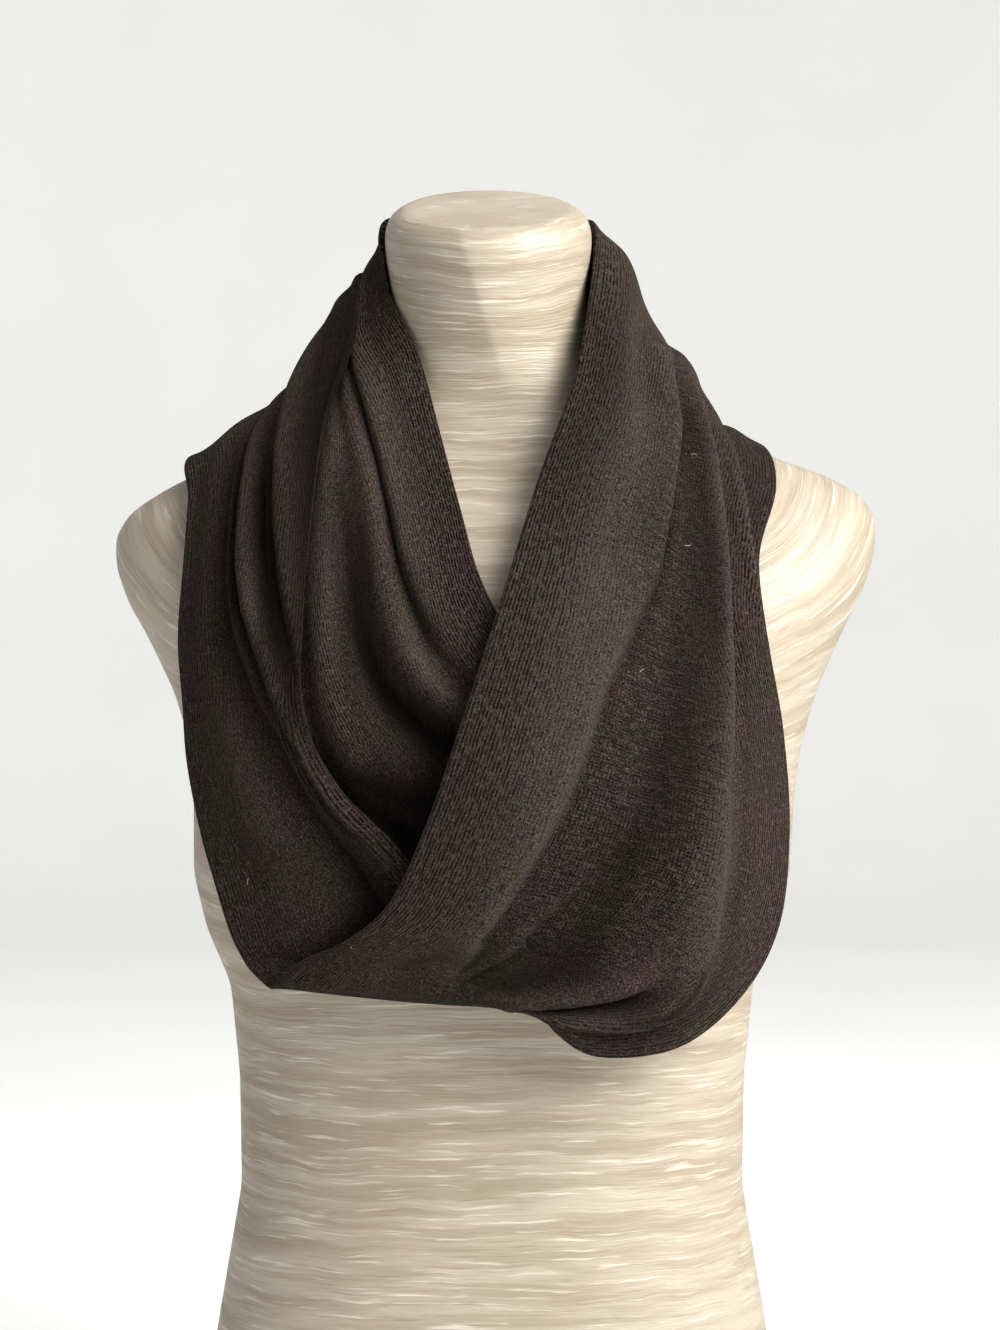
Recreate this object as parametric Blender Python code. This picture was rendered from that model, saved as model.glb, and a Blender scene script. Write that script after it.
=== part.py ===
"""Knitted infinity scarf, wound twice round the neck of a limbless dress form that stands on its flat base.

The tables are in millimetres and the scene is in metres. +X is to the right, -Y is the front, +Z is up,
and the origin is the middle of the form's flat base. The scarf is one closed band with a half turn in it,
so BAND goes twice round the neck and comes back to its first section the other way up. The band is a smooth
surface through these sections, with FOLDS raised along it, and STRETCHES cuts it into the walls that show.
"""

from collections import namedtuple

import bmesh
import bpy
import numpy as np
from mathutils import Vector
from mathutils.bvhtree import BVHTree

MM = 0.001
CLOTH_THICKNESS = 2.6  # two plies of fine knit, as a flattened tube
SEAM_GAP = 0.8  # between one stretch and the next
REST_GAP = 1.5  # between a settled wall and what it lies on
REACH = 45.0  # how deep in the layers below a wall may be drawn and still be lifted clear
COLUMNS_AROUND_FORM = 44

# ---------------------------------------------------------------- the dress form

Ring = namedtuple("Ring", "height half_width half_depth centre_y tilt squareness")
FORM_RINGS = [
    Ring(0, 150, 100, 4, 0, 2.3),
    Ring(4, 157, 106, 4, 0, 2.3),
    Ring(50, 160, 108, 4, 0, 2.3),
    Ring(120, 149, 101, 3, 0, 2.3),
    Ring(190, 137, 92, 0, 0, 2.3),
    Ring(250, 138, 91, 0, 0, 2.3),
    Ring(300, 143, 95, 0, 0, 2.3),
    Ring(330, 156, 101, 0, 0, 2.3),
    Ring(360, 163, 106, -1, 0, 2.3),
    Ring(400, 165, 110, -1, 0, 2.3),
    Ring(430, 168, 111, 0, 0, 2.3),
    Ring(460, 177, 110, 0, 0, 2.3),
    Ring(490, 192, 105, 2, 0, 2.4),
    Ring(515, 203, 96, 4, 0, 2.5),
    Ring(535, 208, 86, 6, 0, 2.6),
    Ring(552, 207, 75, 8, 0, 2.6),
    Ring(566, 200, 66, 10, 0, 2.5),
    Ring(577, 184, 59, 11, 0, 2.4),
    Ring(587, 160, 55, 12, 0, 2.3),
    Ring(597, 132, 54, 13, 0, 2.2),
    Ring(607, 104, 55, 14, 1, 2.1),
    Ring(617, 82, 57, 15, 3, 2.0),
    Ring(630, 66, 58, 14, 6, 2.0),
    Ring(650, 56, 58, 10, 11, 2.0),
    Ring(680, 52, 57, 2, 18, 2.0),
    Ring(706, 55, 57, -5, 22, 2.0),
    Ring(714, 54, 55, -8, 22, 2.0),
    Ring(719, 50, 51, -10, 22, 2.0),
    Ring(721, 44, 45, -11, 22, 2.0),
]

# ---------------------------------------------------------------- the scarf

# A section runs across the band from one edge to the other, and middle lies at the share middle_at between.
# The first edge is the neck edge down the right front, and turns into the outer edge at the bottom fold.
Section = namedtuple("Section", "name first middle last middle_at")
BAND = [
    Section("right_shoulder", (56, 6, 716), (109, 10, 636), (158, 8, 586), 0.58),
    Section("right_front_1", (52, -25, 670), (108, -36, 616), (153, -42, 566), 0.62),
    Section("right_front_2", (37, -52, 622), (113, -77, 559), (145, -76, 525), 0.62),
    Section("right_front_3", (18, -77, 564), (116, -108, 506), (143, -92, 484), 0.62),
    Section("right_front_4", (2, -116, 504), (114, -119, 455), (150, -86, 438), 0.62),
    Section("right_front_5", (-15, -138, 443), (105, -126, 405), (156, -84, 386), 0.62),
    Section("right_front_6", (-32, -141, 393), (92, -132, 365), (150, -92, 338), 0.62),
    Section("right_front_7", (-50, -139, 359), (79, -134, 330), (129, -104, 304), 0.62),
    Section("right_front_8", (-71, -134, 341), (67, -135, 313), (95, -119, 278), 0.62),
    Section("right_front_9", (-94, -126, 328), (24, -138, 305), (54, -128, 275), 0.62),
    Section("fold_front", (-106, -117, 319), (-30, -136, 310), (34, -129, 286), 0.35),
    Section("fold_bottom", (-114, -108, 311), (-36, -127, 303), (22, -123, 299), 0.35),
    Section("fold_back", (-117, -102, 315), (-44, -117, 309), (12, -117, 309), 0.35),
    Section("left_front_9", (-121, -98, 321), (-56, -115, 318), (2, -119, 321), 0.42),
    Section("left_front_8", (-131, -92, 330), (-66, -115, 338), (-22, -122, 342), 0.50),
    Section("left_front_7", (-142, -86, 351), (-85, -112, 366), (-49, -124, 375), 0.50),
    Section("left_front_6", (-154, -78, 386), (-103, -107, 399), (-74, -122, 407), 0.50),
    Section("left_front_5", (-162, -72, 422), (-117, -103, 434), (-90, -119, 450), 0.50),
    Section("left_front_4", (-164, -74, 454), (-124, -101, 470), (-95, -109, 496), 0.50),
    Section("left_front_3", (-165, -76, 486), (-129, -92, 517), (-95, -90, 548), 0.50),
    Section("left_front_2", (-165, -66, 528), (-127, -66, 565), (-93, -58, 613), 0.50),
    Section("left_front_1", (-164, -42, 561), (-124, -34, 600), (-84, -30, 654), 0.50),
    Section("left_shoulder", (-167, 6, 587), (-110, 8, 628), (-73, 6, 690), 0.50),
    Section("left_back_2", (-134, 74, 586), (-100, 78, 636), (-65, 59, 690), 0.50),
    Section("left_back_1", (-68, 100, 568), (-50, 98, 614), (-32, 88, 662), 0.50),
    Section("back_lower", (0, 92, 556), (0, 94, 598), (0, 87, 640), 0.50),
    Section("right_back_1", (64, 88, 568), (44, 84, 612), (26, 74, 658), 0.50),
    Section("right_back_2", (100, 62, 604), (76, 60, 638), (47, 46, 690), 0.50),
    Section("right_neck", (94, 2, 626), (76, 2, 660), (57, 2, 700), 0.50),
    Section("inner_front_9", (104, -84, 522), (78, -60, 580), (47, -38, 630), 0.50),
    Section("inner_front_8", (80, -111, 440), (62, -101, 508), (32, -78, 560), 0.50),
    Section("inner_front_7", (32, -115, 376), (26, -118, 440), (22, -106, 504), 0.50),
    Section("inner_front_6", (-21, -117, 364), (-12, -122, 430), (8, -110, 494), 0.50),
    Section("inner_front_5", (-62, -114, 388), (-46, -117, 450), (-6, -100, 519), 0.50),
    Section("inner_front_4", (-90, -104, 428), (-62, -106, 490), (-18, -78, 554), 0.50),
    Section("inner_front_3", (-104, -96, 480), (-70, -84, 545), (-31, -52, 596), 0.50),
    Section("inner_front_2", (-110, -72, 540), (-80, -60, 590), (-44, -38, 642), 0.50),
    Section("inner_front_1", (-102, -32, 590), (-82, -22, 632), (-55, -14, 678), 0.50),
    Section("left_neck", (-88, 3, 628), (-72, 3, 668), (-58, 2, 716), 0.50),
    Section("left_neck_back", (-84, 66, 634), (-66, 56, 678), (-47, 38, 723), 0.50),
    Section("left_nape", (-50, 82, 640), (-38, 74, 684), (-26, 58, 727), 0.50),
    Section("back_upper", (0, 88, 646), (0, 78, 687), (0, 64, 727), 0.50),
    Section("right_nape", (58, 99, 620), (42, 84, 676), (24, 60, 727), 0.50),
    Section("right_neck_back", (124, 80, 588), (84, 70, 655), (45, 42, 723), 0.50),
]
STATION = {section.name: number for number, section in enumerate(BAND)}
END = len(BAND)
FLIP = STATION["fold_bottom"]

# A fold runs along the band through its stations, each with its share across, its height and its half width.
Fold = namedtuple("Fold", "name stations across heights half_widths")
FOLDS = [
    Fold(
        "band_crest",
        stations=(0, 2, 5, 8.8),
        across=(0.16, 0.15, 0.17, 0.14),
        heights=(5, 9, 10, 7),
        half_widths=(0.11, 0.11, 0.12, 0.10),
    ),
    Fold(
        "ridge_one",
        stations=(0, 1, 3, 5, 8.8),
        across=(0.40, 0.47, 0.37, 0.29, 0.29),
        heights=(5, 5, 6, 7, 5),
        half_widths=(0.07, 0.06, 0.06, 0.06, 0.05),
    ),
    Fold(
        "under_one",
        stations=(0, 1, 3, 5, 8.8),
        across=(0.49, 0.56, 0.46, 0.38, 0.36),
        heights=(-4, -5, -5, -6, -5),
        half_widths=(0.07, 0.06, 0.06, 0.06, 0.05),
    ),
    Fold("ridge_low", (6.2, 7, 8.8), (0.42, 0.41, 0.42), (2, 4, 4), (0.04, 0.04, 0.04)),
    Fold("soft_valley", (3, 4, 6), (0.52, 0.52, 0.52), (-2, -3, -3), (0.07, 0.07, 0.07)),
    Fold(
        "ridge_two",
        stations=(0, 1, 3, 5, 6.5, 8.8),
        across=(0.60, 0.68, 0.69, 0.70, 0.80, 0.84),
        heights=(4, 5, 6, 6, 6, 4),
        half_widths=(0.06, 0.06, 0.06, 0.06, 0.06, 0.06),
    ),
    Fold(
        "valley_two",
        stations=(0, 1, 3, 5, 6.5, 8.8),
        across=(0.72, 0.78, 0.78, 0.79, 0.89, 0.91),
        heights=(-6, -5, -4, -5, -5, -4),
        half_widths=(0.07, 0.06, 0.06, 0.06, 0.06, 0.06),
    ),
    Fold("pleat_three", (0, 1, 2, 3), (0.84, 0.87, 0.91, 0.97), (1, 3, 5, 3), (0.06, 0.06, 0.06, 0.05)),
    Fold("pocket_lip", (7.6, 8.8), (0.67, 0.70), (3, 4), (0.05, 0.05)),
    Fold("pocket", (7.6, 8.8), (0.74, 0.77), (-4, -4), (0.05, 0.05)),
    Fold(
        "outer_crest",
        stations=(16, 19, 25, 28),
        across=(0.30, 0.27, 0.28, 0.30),
        heights=(3, 5, 4, 3),
        half_widths=(0.16, 0.13, 0.12, 0.12),
    ),
    Fold(
        "valley_deep",
        stations=(14, 16.6, 18.6, 20.5, 25, 28),
        across=(0.80, 0.73, 0.52, 0.42, 0.47, 0.46),
        heights=(-4, -6, -6, -6, -4, -3),
        half_widths=(0.06, 0.06, 0.07, 0.07, 0.08, 0.09),
    ),
    Fold(
        "crest_mid",
        stations=(15, 17.5, 18.6, 20, 25, 28),
        across=(0.87, 0.72, 0.66, 0.57, 0.62, 0.60),
        heights=(3, 4, 4, 4, 4, 4),
        half_widths=(0.06, 0.07, 0.08, 0.08, 0.08, 0.09),
    ),
    Fold(
        "valley_high",
        stations=(18.4, 20, 22, 25, 28),
        across=(0.82, 0.71, 0.70, 0.75, 0.72),
        heights=(-2, -4, -4, -3, -3),
        half_widths=(0.06, 0.06, 0.06, 0.07, 0.08),
    ),
    Fold(
        "neck_roll",
        stations=(14, 16.5, 20, 22, 25, 28),
        across=(0.96, 0.88, 0.86, 0.85, 0.88, 0.86),
        heights=(4, 5, 5, 4, 3, 3),
        half_widths=(0.06, 0.07, 0.07, 0.07, 0.07, 0.08),
    ),
    Fold(
        "strip_crest",
        stations=(29, 34, 38, 41, 44),
        across=(0.86, 0.86, 0.86, 0.84, 0.84),
        heights=(3, 4, 4, 4, 5),
        half_widths=(0.09, 0.09, 0.09, 0.10, 0.11),
    ),
    Fold(
        "strip_valley",
        stations=(29, 34, 36, 38, 40),
        across=(0.72, 0.72, 0.72, 0.71, 0.70),
        heights=(-4, -6, -3, -2, -2),
        half_widths=(0.06, 0.06, 0.07, 0.08, 0.08),
    ),
    Fold(
        "second_ridge",
        stations=(29, 34, 38, 41, 44),
        across=(0.62, 0.63, 0.59, 0.62, 0.60),
        heights=(4, 6, 4, 4, 5),
        half_widths=(0.08, 0.07, 0.09, 0.09, 0.07),
    ),
    Fold(
        "hollow",
        stations=(29, 33, 35, 38, 41, 44),
        across=(0.46, 0.44, 0.47, 0.46, 0.46, 0.51),
        heights=(-4, -8, -5, -3, -4, -4),
        half_widths=(0.10, 0.11, 0.10, 0.09, 0.09, 0.07),
    ),
    Fold(
        "low_crest",
        stations=(33, 36, 38, 41, 44),
        across=(0.24, 0.34, 0.30, 0.28, 0.40),
        heights=(3, 4, 4, 4, 4),
        half_widths=(0.12, 0.10, 0.10, 0.10, 0.06),
    ),
    Fold("low_valley", (42.5, 44), (0.28, 0.28), (-4, -6), (0.06, 0.07)),
    Fold("low_pleat", (42.5, 44), (0.17, 0.16), (2, 1), (0.06, 0.06)),
]

# level says what a stretch lies on: the form, and every stretch of a lower level.
Stretch = namedtuple("Stretch", "name start end rows level")
STRETCHES = [
    Stretch("scarf_front_right", 0, FLIP, 31, 2),
    Stretch("scarf_front_left", FLIP, STATION["left_shoulder"], 27, 1),
    Stretch("scarf_back_left_outer", STATION["left_shoulder"], STATION["back_lower"], 11, 1),
    Stretch("scarf_back_right_inner", STATION["back_lower"], STATION["right_neck"], 11, 0),
    Stretch("scarf_front_inner", STATION["right_neck"], STATION["left_neck"], 25, 0),
    Stretch("scarf_back_left_inner", STATION["left_neck"], STATION["back_upper"], 11, 0),
    Stretch("scarf_back_right_outer", STATION["back_upper"], END, 11, 1),
]
LAYING_STEP = 2  # rows and columns of the laying grid to each one of a wall
WALL_COLUMNS = 25

# ---------------------------------------------------------------- shapes


def material(name, colour, roughness):
    made = bpy.data.materials.new(name)
    made.use_nodes = True
    shader = made.node_tree.nodes["Principled BSDF"]
    shader.inputs["Base Color"].default_value = (*colour, 1.0)
    shader.inputs["Roughness"].default_value = roughness
    return made


def add_object(name, points, faces, finish):
    """A closed mesh with its faces pointing out, from points in millimetres."""
    mesh = bpy.data.meshes.new(name)
    mesh.from_pydata([Vector(p) * MM for p in points], [], faces)
    shape = bmesh.new()
    shape.from_mesh(mesh)
    bmesh.ops.recalc_face_normals(shape, faces=shape.faces)
    shape.to_mesh(mesh)
    shape.free()
    mesh.shade_smooth()
    made = bpy.data.objects.new(name, mesh)
    made.data.materials.append(finish)
    bpy.context.scene.collection.objects.link(made)
    return made


def ring_points(ring):
    """A superellipse, leaning forward by the ring's tilt."""
    angles = np.linspace(0, 2 * np.pi, COLUMNS_AROUND_FORM, endpoint=False)
    power = 2 / ring.squareness
    across = ring.half_width * np.sign(np.cos(angles)) * np.abs(np.cos(angles)) ** power
    deep = ring.half_depth * np.sign(np.sin(angles)) * np.abs(np.sin(angles)) ** power
    lean = np.radians(ring.tilt)
    height = ring.height + deep * np.sin(lean)
    return np.stack([across, ring.centre_y + deep * np.cos(lean), height], axis=1)


def dress_form(finish):
    rows = [ring_points(ring) for ring in FORM_RINGS]
    around = COLUMNS_AROUND_FORM
    faces = [
        (low + i, low + (i + 1) % around, low + around + (i + 1) % around, low + around + i)
        for low in range(0, (len(rows) - 1) * around, around)
        for i in range(around)
    ]
    last = (len(rows) - 1) * around
    faces.append(tuple(range(around)))
    faces.append(tuple(range(last, last + around)))
    return add_object("dress_form", np.concatenate(rows), faces, finish)


def section_row(section):
    """The section's first, halfway and last points, so that sections with any middle_at can be blended."""
    first, middle, last = (np.array(p, float) for p in (section.first, section.middle, section.last))
    m = section.middle_at
    bend = (middle - first - (last - first) * m) / (m * (m - 1))
    return np.array([first, (first + last) / 2 - bend / 4, last])


def looped(stations, across):
    """Stations brought into one trip along the band, and the share across, turned over where they left it."""
    trips = np.floor(stations / END)
    over = np.where(trips[:, None] % 2 == 0, across, 1 - across)
    return stations - trips * END, over


def band_points(stations, across):
    """The smooth band, before its folds: Catmull-Rom along it and a parabola across it."""
    stations, across = looped(stations, across)
    rows = [section_row(section) for section in BAND]
    rows = np.array([rows[-1][::-1], *rows, rows[0][::-1], rows[1][::-1]])
    whole = np.floor(stations).astype(int)
    part = (stations - whole)[:, None, None]
    a, b, c, d = (rows[whole + k] for k in range(4))
    square, cube = part**2, part**3
    here = b + 0.5 * ((c - a) * part + (2 * a - 5 * b + 4 * c - d) * square + (3 * b - a - 3 * c + d) * cube)
    first, halfway, last = (here[:, None, k, :] for k in range(3))
    t = across[..., None]
    return first * (1 - t) * (1 - 2 * t) + halfway * 4 * t * (1 - t) + last * t * (2 * t - 1)


def outward(surface, stations, across):
    """Unit normals of a surface of the band, on the side away from the form."""
    along = surface(stations + 0.02, across) - surface(stations - 0.02, across)
    over = surface(stations, across + 0.005) - surface(stations, across - 0.005)
    side = np.where(stations < FLIP, 1.0, -1.0)[:, None, None]
    normal = np.cross(along, over) * side
    return normal / np.linalg.norm(normal, axis=2, keepdims=True)


def folded_points(stations, across):
    """The band with its folds."""
    stations, across = looped(stations, across)
    normal = outward(band_points, stations, across)
    points = band_points(stations, across)
    for fold in FOLDS:
        start, end = fold.stations[0], fold.stations[-1]
        before = (stations - start + 1) if start > 0 else np.ones_like(stations)
        after = (end + 1 - stations) if end < END else np.ones_like(stations)
        fade = np.clip(np.minimum(before, after), 0, 1)
        fade = fade * fade * (3 - 2 * fade)
        centre = np.interp(stations, fold.stations, fold.across)
        width = np.interp(stations, fold.stations, fold.half_widths)
        raised = np.interp(stations, fold.stations, fold.heights) * fade
        height = raised[:, None] * np.exp(-(((across - centre[:, None]) / width[:, None]) ** 2))
        points = points + normal * height[..., None]
    return points


def wall_sheets(points, normals):
    """The two faces of a wall about a grid of points, as one list of points and one of quads."""
    rows, columns = points.shape[:2]
    half = normals * CLOTH_THICKNESS / 2
    both = np.concatenate([(points + half).reshape(-1, 3), (points - half).reshape(-1, 3)])
    under = rows * columns
    quads = []
    for i in range(rows - 1):
        for j in range(columns - 1):
            a = i * columns + j
            quads.append((a, a + columns, a + columns + 1, a + 1))
            quads.append((under + a + 1, under + a + columns + 1, under + a + columns, under + a))
    return both, quads


def cloth_wall(name, points, normals, finish):
    """A wall of even thickness about a grid of points, closed round its four sides."""
    rows, columns = points.shape[:2]
    both, quads = wall_sheets(points, normals)
    under = rows * columns
    rim = (
        [i * columns for i in range(rows)]
        + [under - columns + j for j in range(1, columns)]
        + [i * columns + columns - 1 for i in range(rows - 2, -1, -1)]
        + list(range(columns - 2, 0, -1))
    )
    quads += [(a, under + a, under + b, b) for a, b in zip(rim, rim[1:] + rim[:1])]
    return add_object(name, both, quads, finish)


# ---------------------------------------------------------------- laying the band on the form


def seam_share(station):
    """Half the seam gap, as a part of a station."""
    middle = np.full((2, 1), 0.5)
    ends = band_points(np.array([station - 0.1, station + 0.1]), middle)[:, 0]
    return 0.1 * SEAM_GAP / np.linalg.norm(ends[1] - ends[0])


def laying_stations(stretch):
    start = stretch.start + seam_share(stretch.start)
    end = stretch.end - seam_share(stretch.end)
    return np.linspace(start, end, LAYING_STEP * (stretch.rows - 1) + 1)


def needed_lift(points, normals, below):
    """How far each point has to go out to lie clear of the trees below."""
    clearance = CLOTH_THICKNESS / 2 + REST_GAP
    need = np.zeros(points.shape[:2])
    for i, j in np.ndindex(*need.shape):
        out = Vector(normals[i, j])
        start = Vector(points[i, j]) + out * REACH
        for tree in below:
            distance = tree.ray_cast(start, -out, REACH + clearance)[3]
            if distance is not None:
                need[i, j] = max(need[i, j], REACH - distance + clearance)
    return need


def spread(needs, rounds):
    """Lets the lift fall away smoothly round the places that need it, and match across the seams."""
    lifts = [need.copy() for need in needs]
    for _ in range(rounds):
        for k, lift in enumerate(lifts):
            before = lifts[k - 1][-1] if k else lifts[-1][-1][::-1]
            after = lifts[k + 1][0] if k + 1 < len(lifts) else lifts[0][0][::-1]
            padded = np.pad(np.vstack([before, lift, after]), ((0, 0), (1, 1)), mode="edge")
            total = padded[:-2, 1:-1] + padded[2:, 1:-1] + padded[1:-1, :-2] + padded[1:-1, 2:]
            lifts[k] = np.maximum(needs[k], total / 4)
    for k, lift in enumerate(lifts):
        ends = lifts[k - 1][-1] if k else lifts[-1][-1][::-1]
        highest = np.maximum(ends, lift[0])
        lift[0] = highest
        ends[:] = highest
    return lifts


def lay_band(form_tree):
    """The middle surface and the outward normals of every stretch, settled one level after another."""
    across = np.linspace(0, 1, LAYING_STEP * (WALL_COLUMNS - 1) + 1)[None, :]
    grids = []
    for stretch in STRETCHES:
        stations = laying_stations(stretch)
        wide = np.repeat(across, len(stations), axis=0)
        points = folded_points(stations, wide)
        normals = outward(folded_points, stations, wide)
        hold = np.clip(np.abs(stations - FLIP) / 1.5, 0, 1)[:, None]
        grids.append((points, normals, hold))
    needs = [np.zeros(points.shape[:2]) for points, _, _ in grids]
    lifts = needs
    for level in (0, 1, 2, 1, 2):
        below = [form_tree]
        for stretch, (points, normals, hold), lift in zip(STRETCHES, grids, lifts):
            if stretch.level < level:
                raised = points + normals * (lift * hold)[..., None]
                below.append(BVHTree.FromPolygons(*wall_sheets(raised, normals)))
        for k, stretch in enumerate(STRETCHES):
            if stretch.level == level:
                points, normals, _ = grids[k]
                needs[k] = np.maximum(needs[k], needed_lift(points, normals, below))
        lifts = spread(needs, 14)
    return [
        (points + normals * (lift * hold)[..., None], normals)
        for (points, normals, hold), lift in zip(grids, lifts)
    ]


# ---------------------------------------------------------------- the whole object


def build():
    for old in list(bpy.data.objects):
        bpy.data.objects.remove(old)
    form_finish = material("pale_wrapped_paper", (0.76, 0.68, 0.56), 0.55)
    knit = material("dark_brown_knit", (0.045, 0.035, 0.030), 0.95)

    form = dress_form(form_finish)
    corners = [v.co / MM for v in form.data.vertices]
    form_tree = BVHTree.FromPolygons(corners, [tuple(p.vertices) for p in form.data.polygons])
    for stretch, (points, normals) in zip(STRETCHES, lay_band(form_tree)):
        every = slice(None, None, LAYING_STEP)
        cloth_wall(stretch.name, points[every, every], normals[every, every], knit)


build()
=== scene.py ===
# %% [markdown]
# # A knitted infinity scarf on a dress form
# The scarf is one closed loop of fine dark knit, wound twice round the neck of a pale paper dress form. Its
# shape is a rule, not a sculpture: a band is swept through a table of sections, soft folds are raised along
# it, and the layers are settled on one another. The tables of the form and the scarf are in millimetres,
# and the scene is in metres. +X is to the right, -Y is the front, +Z is up, and the origin is the middle of
# the form's flat base.

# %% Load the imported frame
from collections import namedtuple

import bmesh
import bpy
import numpy as np
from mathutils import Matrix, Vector
from mathutils.bvhtree import BVHTree


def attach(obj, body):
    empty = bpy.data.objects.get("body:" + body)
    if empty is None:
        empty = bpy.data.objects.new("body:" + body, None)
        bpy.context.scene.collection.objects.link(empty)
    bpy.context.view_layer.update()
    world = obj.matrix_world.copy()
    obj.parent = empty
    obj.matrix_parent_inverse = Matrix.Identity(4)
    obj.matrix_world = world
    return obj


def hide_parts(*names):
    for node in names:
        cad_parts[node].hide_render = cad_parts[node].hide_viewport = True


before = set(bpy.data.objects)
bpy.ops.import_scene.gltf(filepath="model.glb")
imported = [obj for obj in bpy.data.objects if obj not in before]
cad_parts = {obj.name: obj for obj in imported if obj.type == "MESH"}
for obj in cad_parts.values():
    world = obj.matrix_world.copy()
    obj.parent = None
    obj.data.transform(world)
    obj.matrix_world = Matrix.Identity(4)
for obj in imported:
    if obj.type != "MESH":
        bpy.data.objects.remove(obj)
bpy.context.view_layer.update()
MM = 0.001
TINY = 1e-6

# %% [markdown]
# ## The camera
# It stands level with the chest, 1.5 m in front of the form, and sees a strip 0.55 m wide there. The taller
# side of the picture takes the sensor's 36 mm, so the lens is worked out from the height that it has to
# see.

# %% Camera
CAMERA_DISTANCE = 1.5
CAMERA_HEIGHT = 0.473
CAMERA_SIDE = 0.0044
SEEN_WIDTH = 0.55
PICTURE_ASPECT = 1330 / 1000
camera_data = bpy.data.cameras.new("studio_camera")
camera_data.sensor_width = 36
camera_data.lens = camera_data.sensor_width * CAMERA_DISTANCE / (SEEN_WIDTH * PICTURE_ASPECT)
camera = bpy.data.objects.new("studio_camera", camera_data)
camera.location = (CAMERA_SIDE, -CAMERA_DISTANCE, CAMERA_HEIGHT)
camera.rotation_euler = (np.pi / 2, 0, 0)
bpy.context.scene.collection.objects.link(camera)
bpy.context.scene.camera = camera
print(f"lens {camera_data.lens:.1f} mm")

# %% [markdown]
# ## Node helpers
# Materials are small networks of nodes. A Wire stands for what flows out of one node. Sums, ramps, noise
# and blends on it add the nodes that make them, so that a network reads like plain arithmetic.

# %% Wires between nodes


class Wire:
    """What flows out of a node. Each sum, ramp, noise or blend on it adds a node and gives its wire."""

    def __init__(self, tree, socket):
        self.tree = tree
        self.socket = socket

    def maths(self, operation, *terms, clamp=False):
        inputs = dict(enumerate((self, *terms)))
        return add_wire(self.tree, "Math", inputs, operation=operation, use_clamp=clamp)

    def __add__(self, term):
        return self.maths("ADD", term)

    def __sub__(self, term):
        return self.maths("SUBTRACT", term)

    def __mul__(self, term):
        return self.maths("MULTIPLY", term)

    def __truediv__(self, term):
        return self.maths("DIVIDE", term)

    def __pow__(self, term):
        return self.maths("POWER", term)

    def ramp(self, low, high, out_low=0.0, out_high=1.0):
        """Brings a value from the range low..high to out_low..out_high, smoothly and clamped."""
        inputs = {"Value": self, "From Min": low, "From Max": high, "To Min": out_low, "To Max": out_high}
        return add_wire(self.tree, "MapRange", inputs, interpolation_type="SMOOTHSTEP")

    def noise(self, scale, detail=2.0, roughness=0.5, stretch=(1, 1, 1)):
        """Noise on a place in metres, finer along the axes with a larger stretch."""
        moved = add_wire(self.tree, "Mapping", {"Vector": self, "Scale": stretch})
        inputs = {"Vector": moved, "Scale": scale, "Detail": detail, "Roughness": roughness}
        return add_wire(self.tree, "TexNoise", inputs)

    def blend(self, first, second):
        """The first colour where this wire carries 0 and the second where it carries 1."""
        low, high = (colour if isinstance(colour, Wire) else (*colour, 1) for colour in (first, second))
        return add_wire(self.tree, "Mix", {0: self, 6: low, 7: high}, output=2, data_type="RGBA")


def plug(node, inputs):
    """Gives each named or numbered input of a node its wire or its plain value."""
    for socket, value in inputs.items():
        if isinstance(value, Wire):
            value.tree.links.new(value.socket, node.inputs[socket])
        else:
            node.inputs[socket].default_value = value


def add_node(tree, kind, inputs, **settings):
    """A shader node with its settings made and its inputs plugged."""
    node = tree.nodes.new("ShaderNode" + kind)
    for setting, value in settings.items():
        setattr(node, setting, value)
    plug(node, inputs)
    return node


def add_wire(tree, kind, inputs=None, output=0, **settings):
    """The wire from one output of a new shader node."""
    return Wire(tree, add_node(tree, kind, inputs or {}, **settings).outputs[output])


# %% Groups and materials


def shader_group(name, inputs, outputs):
    """An empty node group: its tree, the wire from each input by name, and its output node."""
    tree = bpy.data.node_groups.new(name, "ShaderNodeTree")
    for socket, kind, value in inputs:
        made = tree.interface.new_socket(socket, in_out="INPUT", socket_type="NodeSocket" + kind)
        if value is not None:
            made.default_value = value
    for socket in outputs:
        tree.interface.new_socket(socket, in_out="OUTPUT", socket_type="NodeSocketFloat")
    start = tree.nodes.new("NodeGroupInput")
    given = {socket: Wire(tree, start.outputs[socket]) for socket, _, _ in inputs}
    return tree, given, tree.nodes.new("NodeGroupOutput")


def use_group(tree, group, inputs):
    """The wires from a group's outputs, in order."""
    node = add_node(tree, "Group", inputs, node_tree=group)
    return [Wire(tree, socket) for socket in node.outputs]


def new_material(name):
    """A material, its tree and its shader node."""
    made = bpy.data.materials.new(name)
    made.use_nodes = True
    return made, made.node_tree, made.node_tree.nodes["Principled BSDF"]


# %% [markdown]
# ## The studio
# A real studio sweep is a pale sheet that curves up from the floor into a wall, so that no line shows
# between them. Here it curves up all round like a shallow bowl, so the object has the same quiet ground
# from every side.

# %% Studio floor
SWEEP_FLOOR = 3.4
SWEEP_BEND = 1.4
SWEEP_WALL = 3.0
SWEEP_BEND_POINTS = 13
SWEEP_SPOKES = 96
WELD_DISTANCE = 1e-5
SWEEP_SHADES = ((0.80, 0.80, 0.79), (0.84, 0.84, 0.83))
SWEEP_GLOW = (0.36, 0.355, 0.34)


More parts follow.
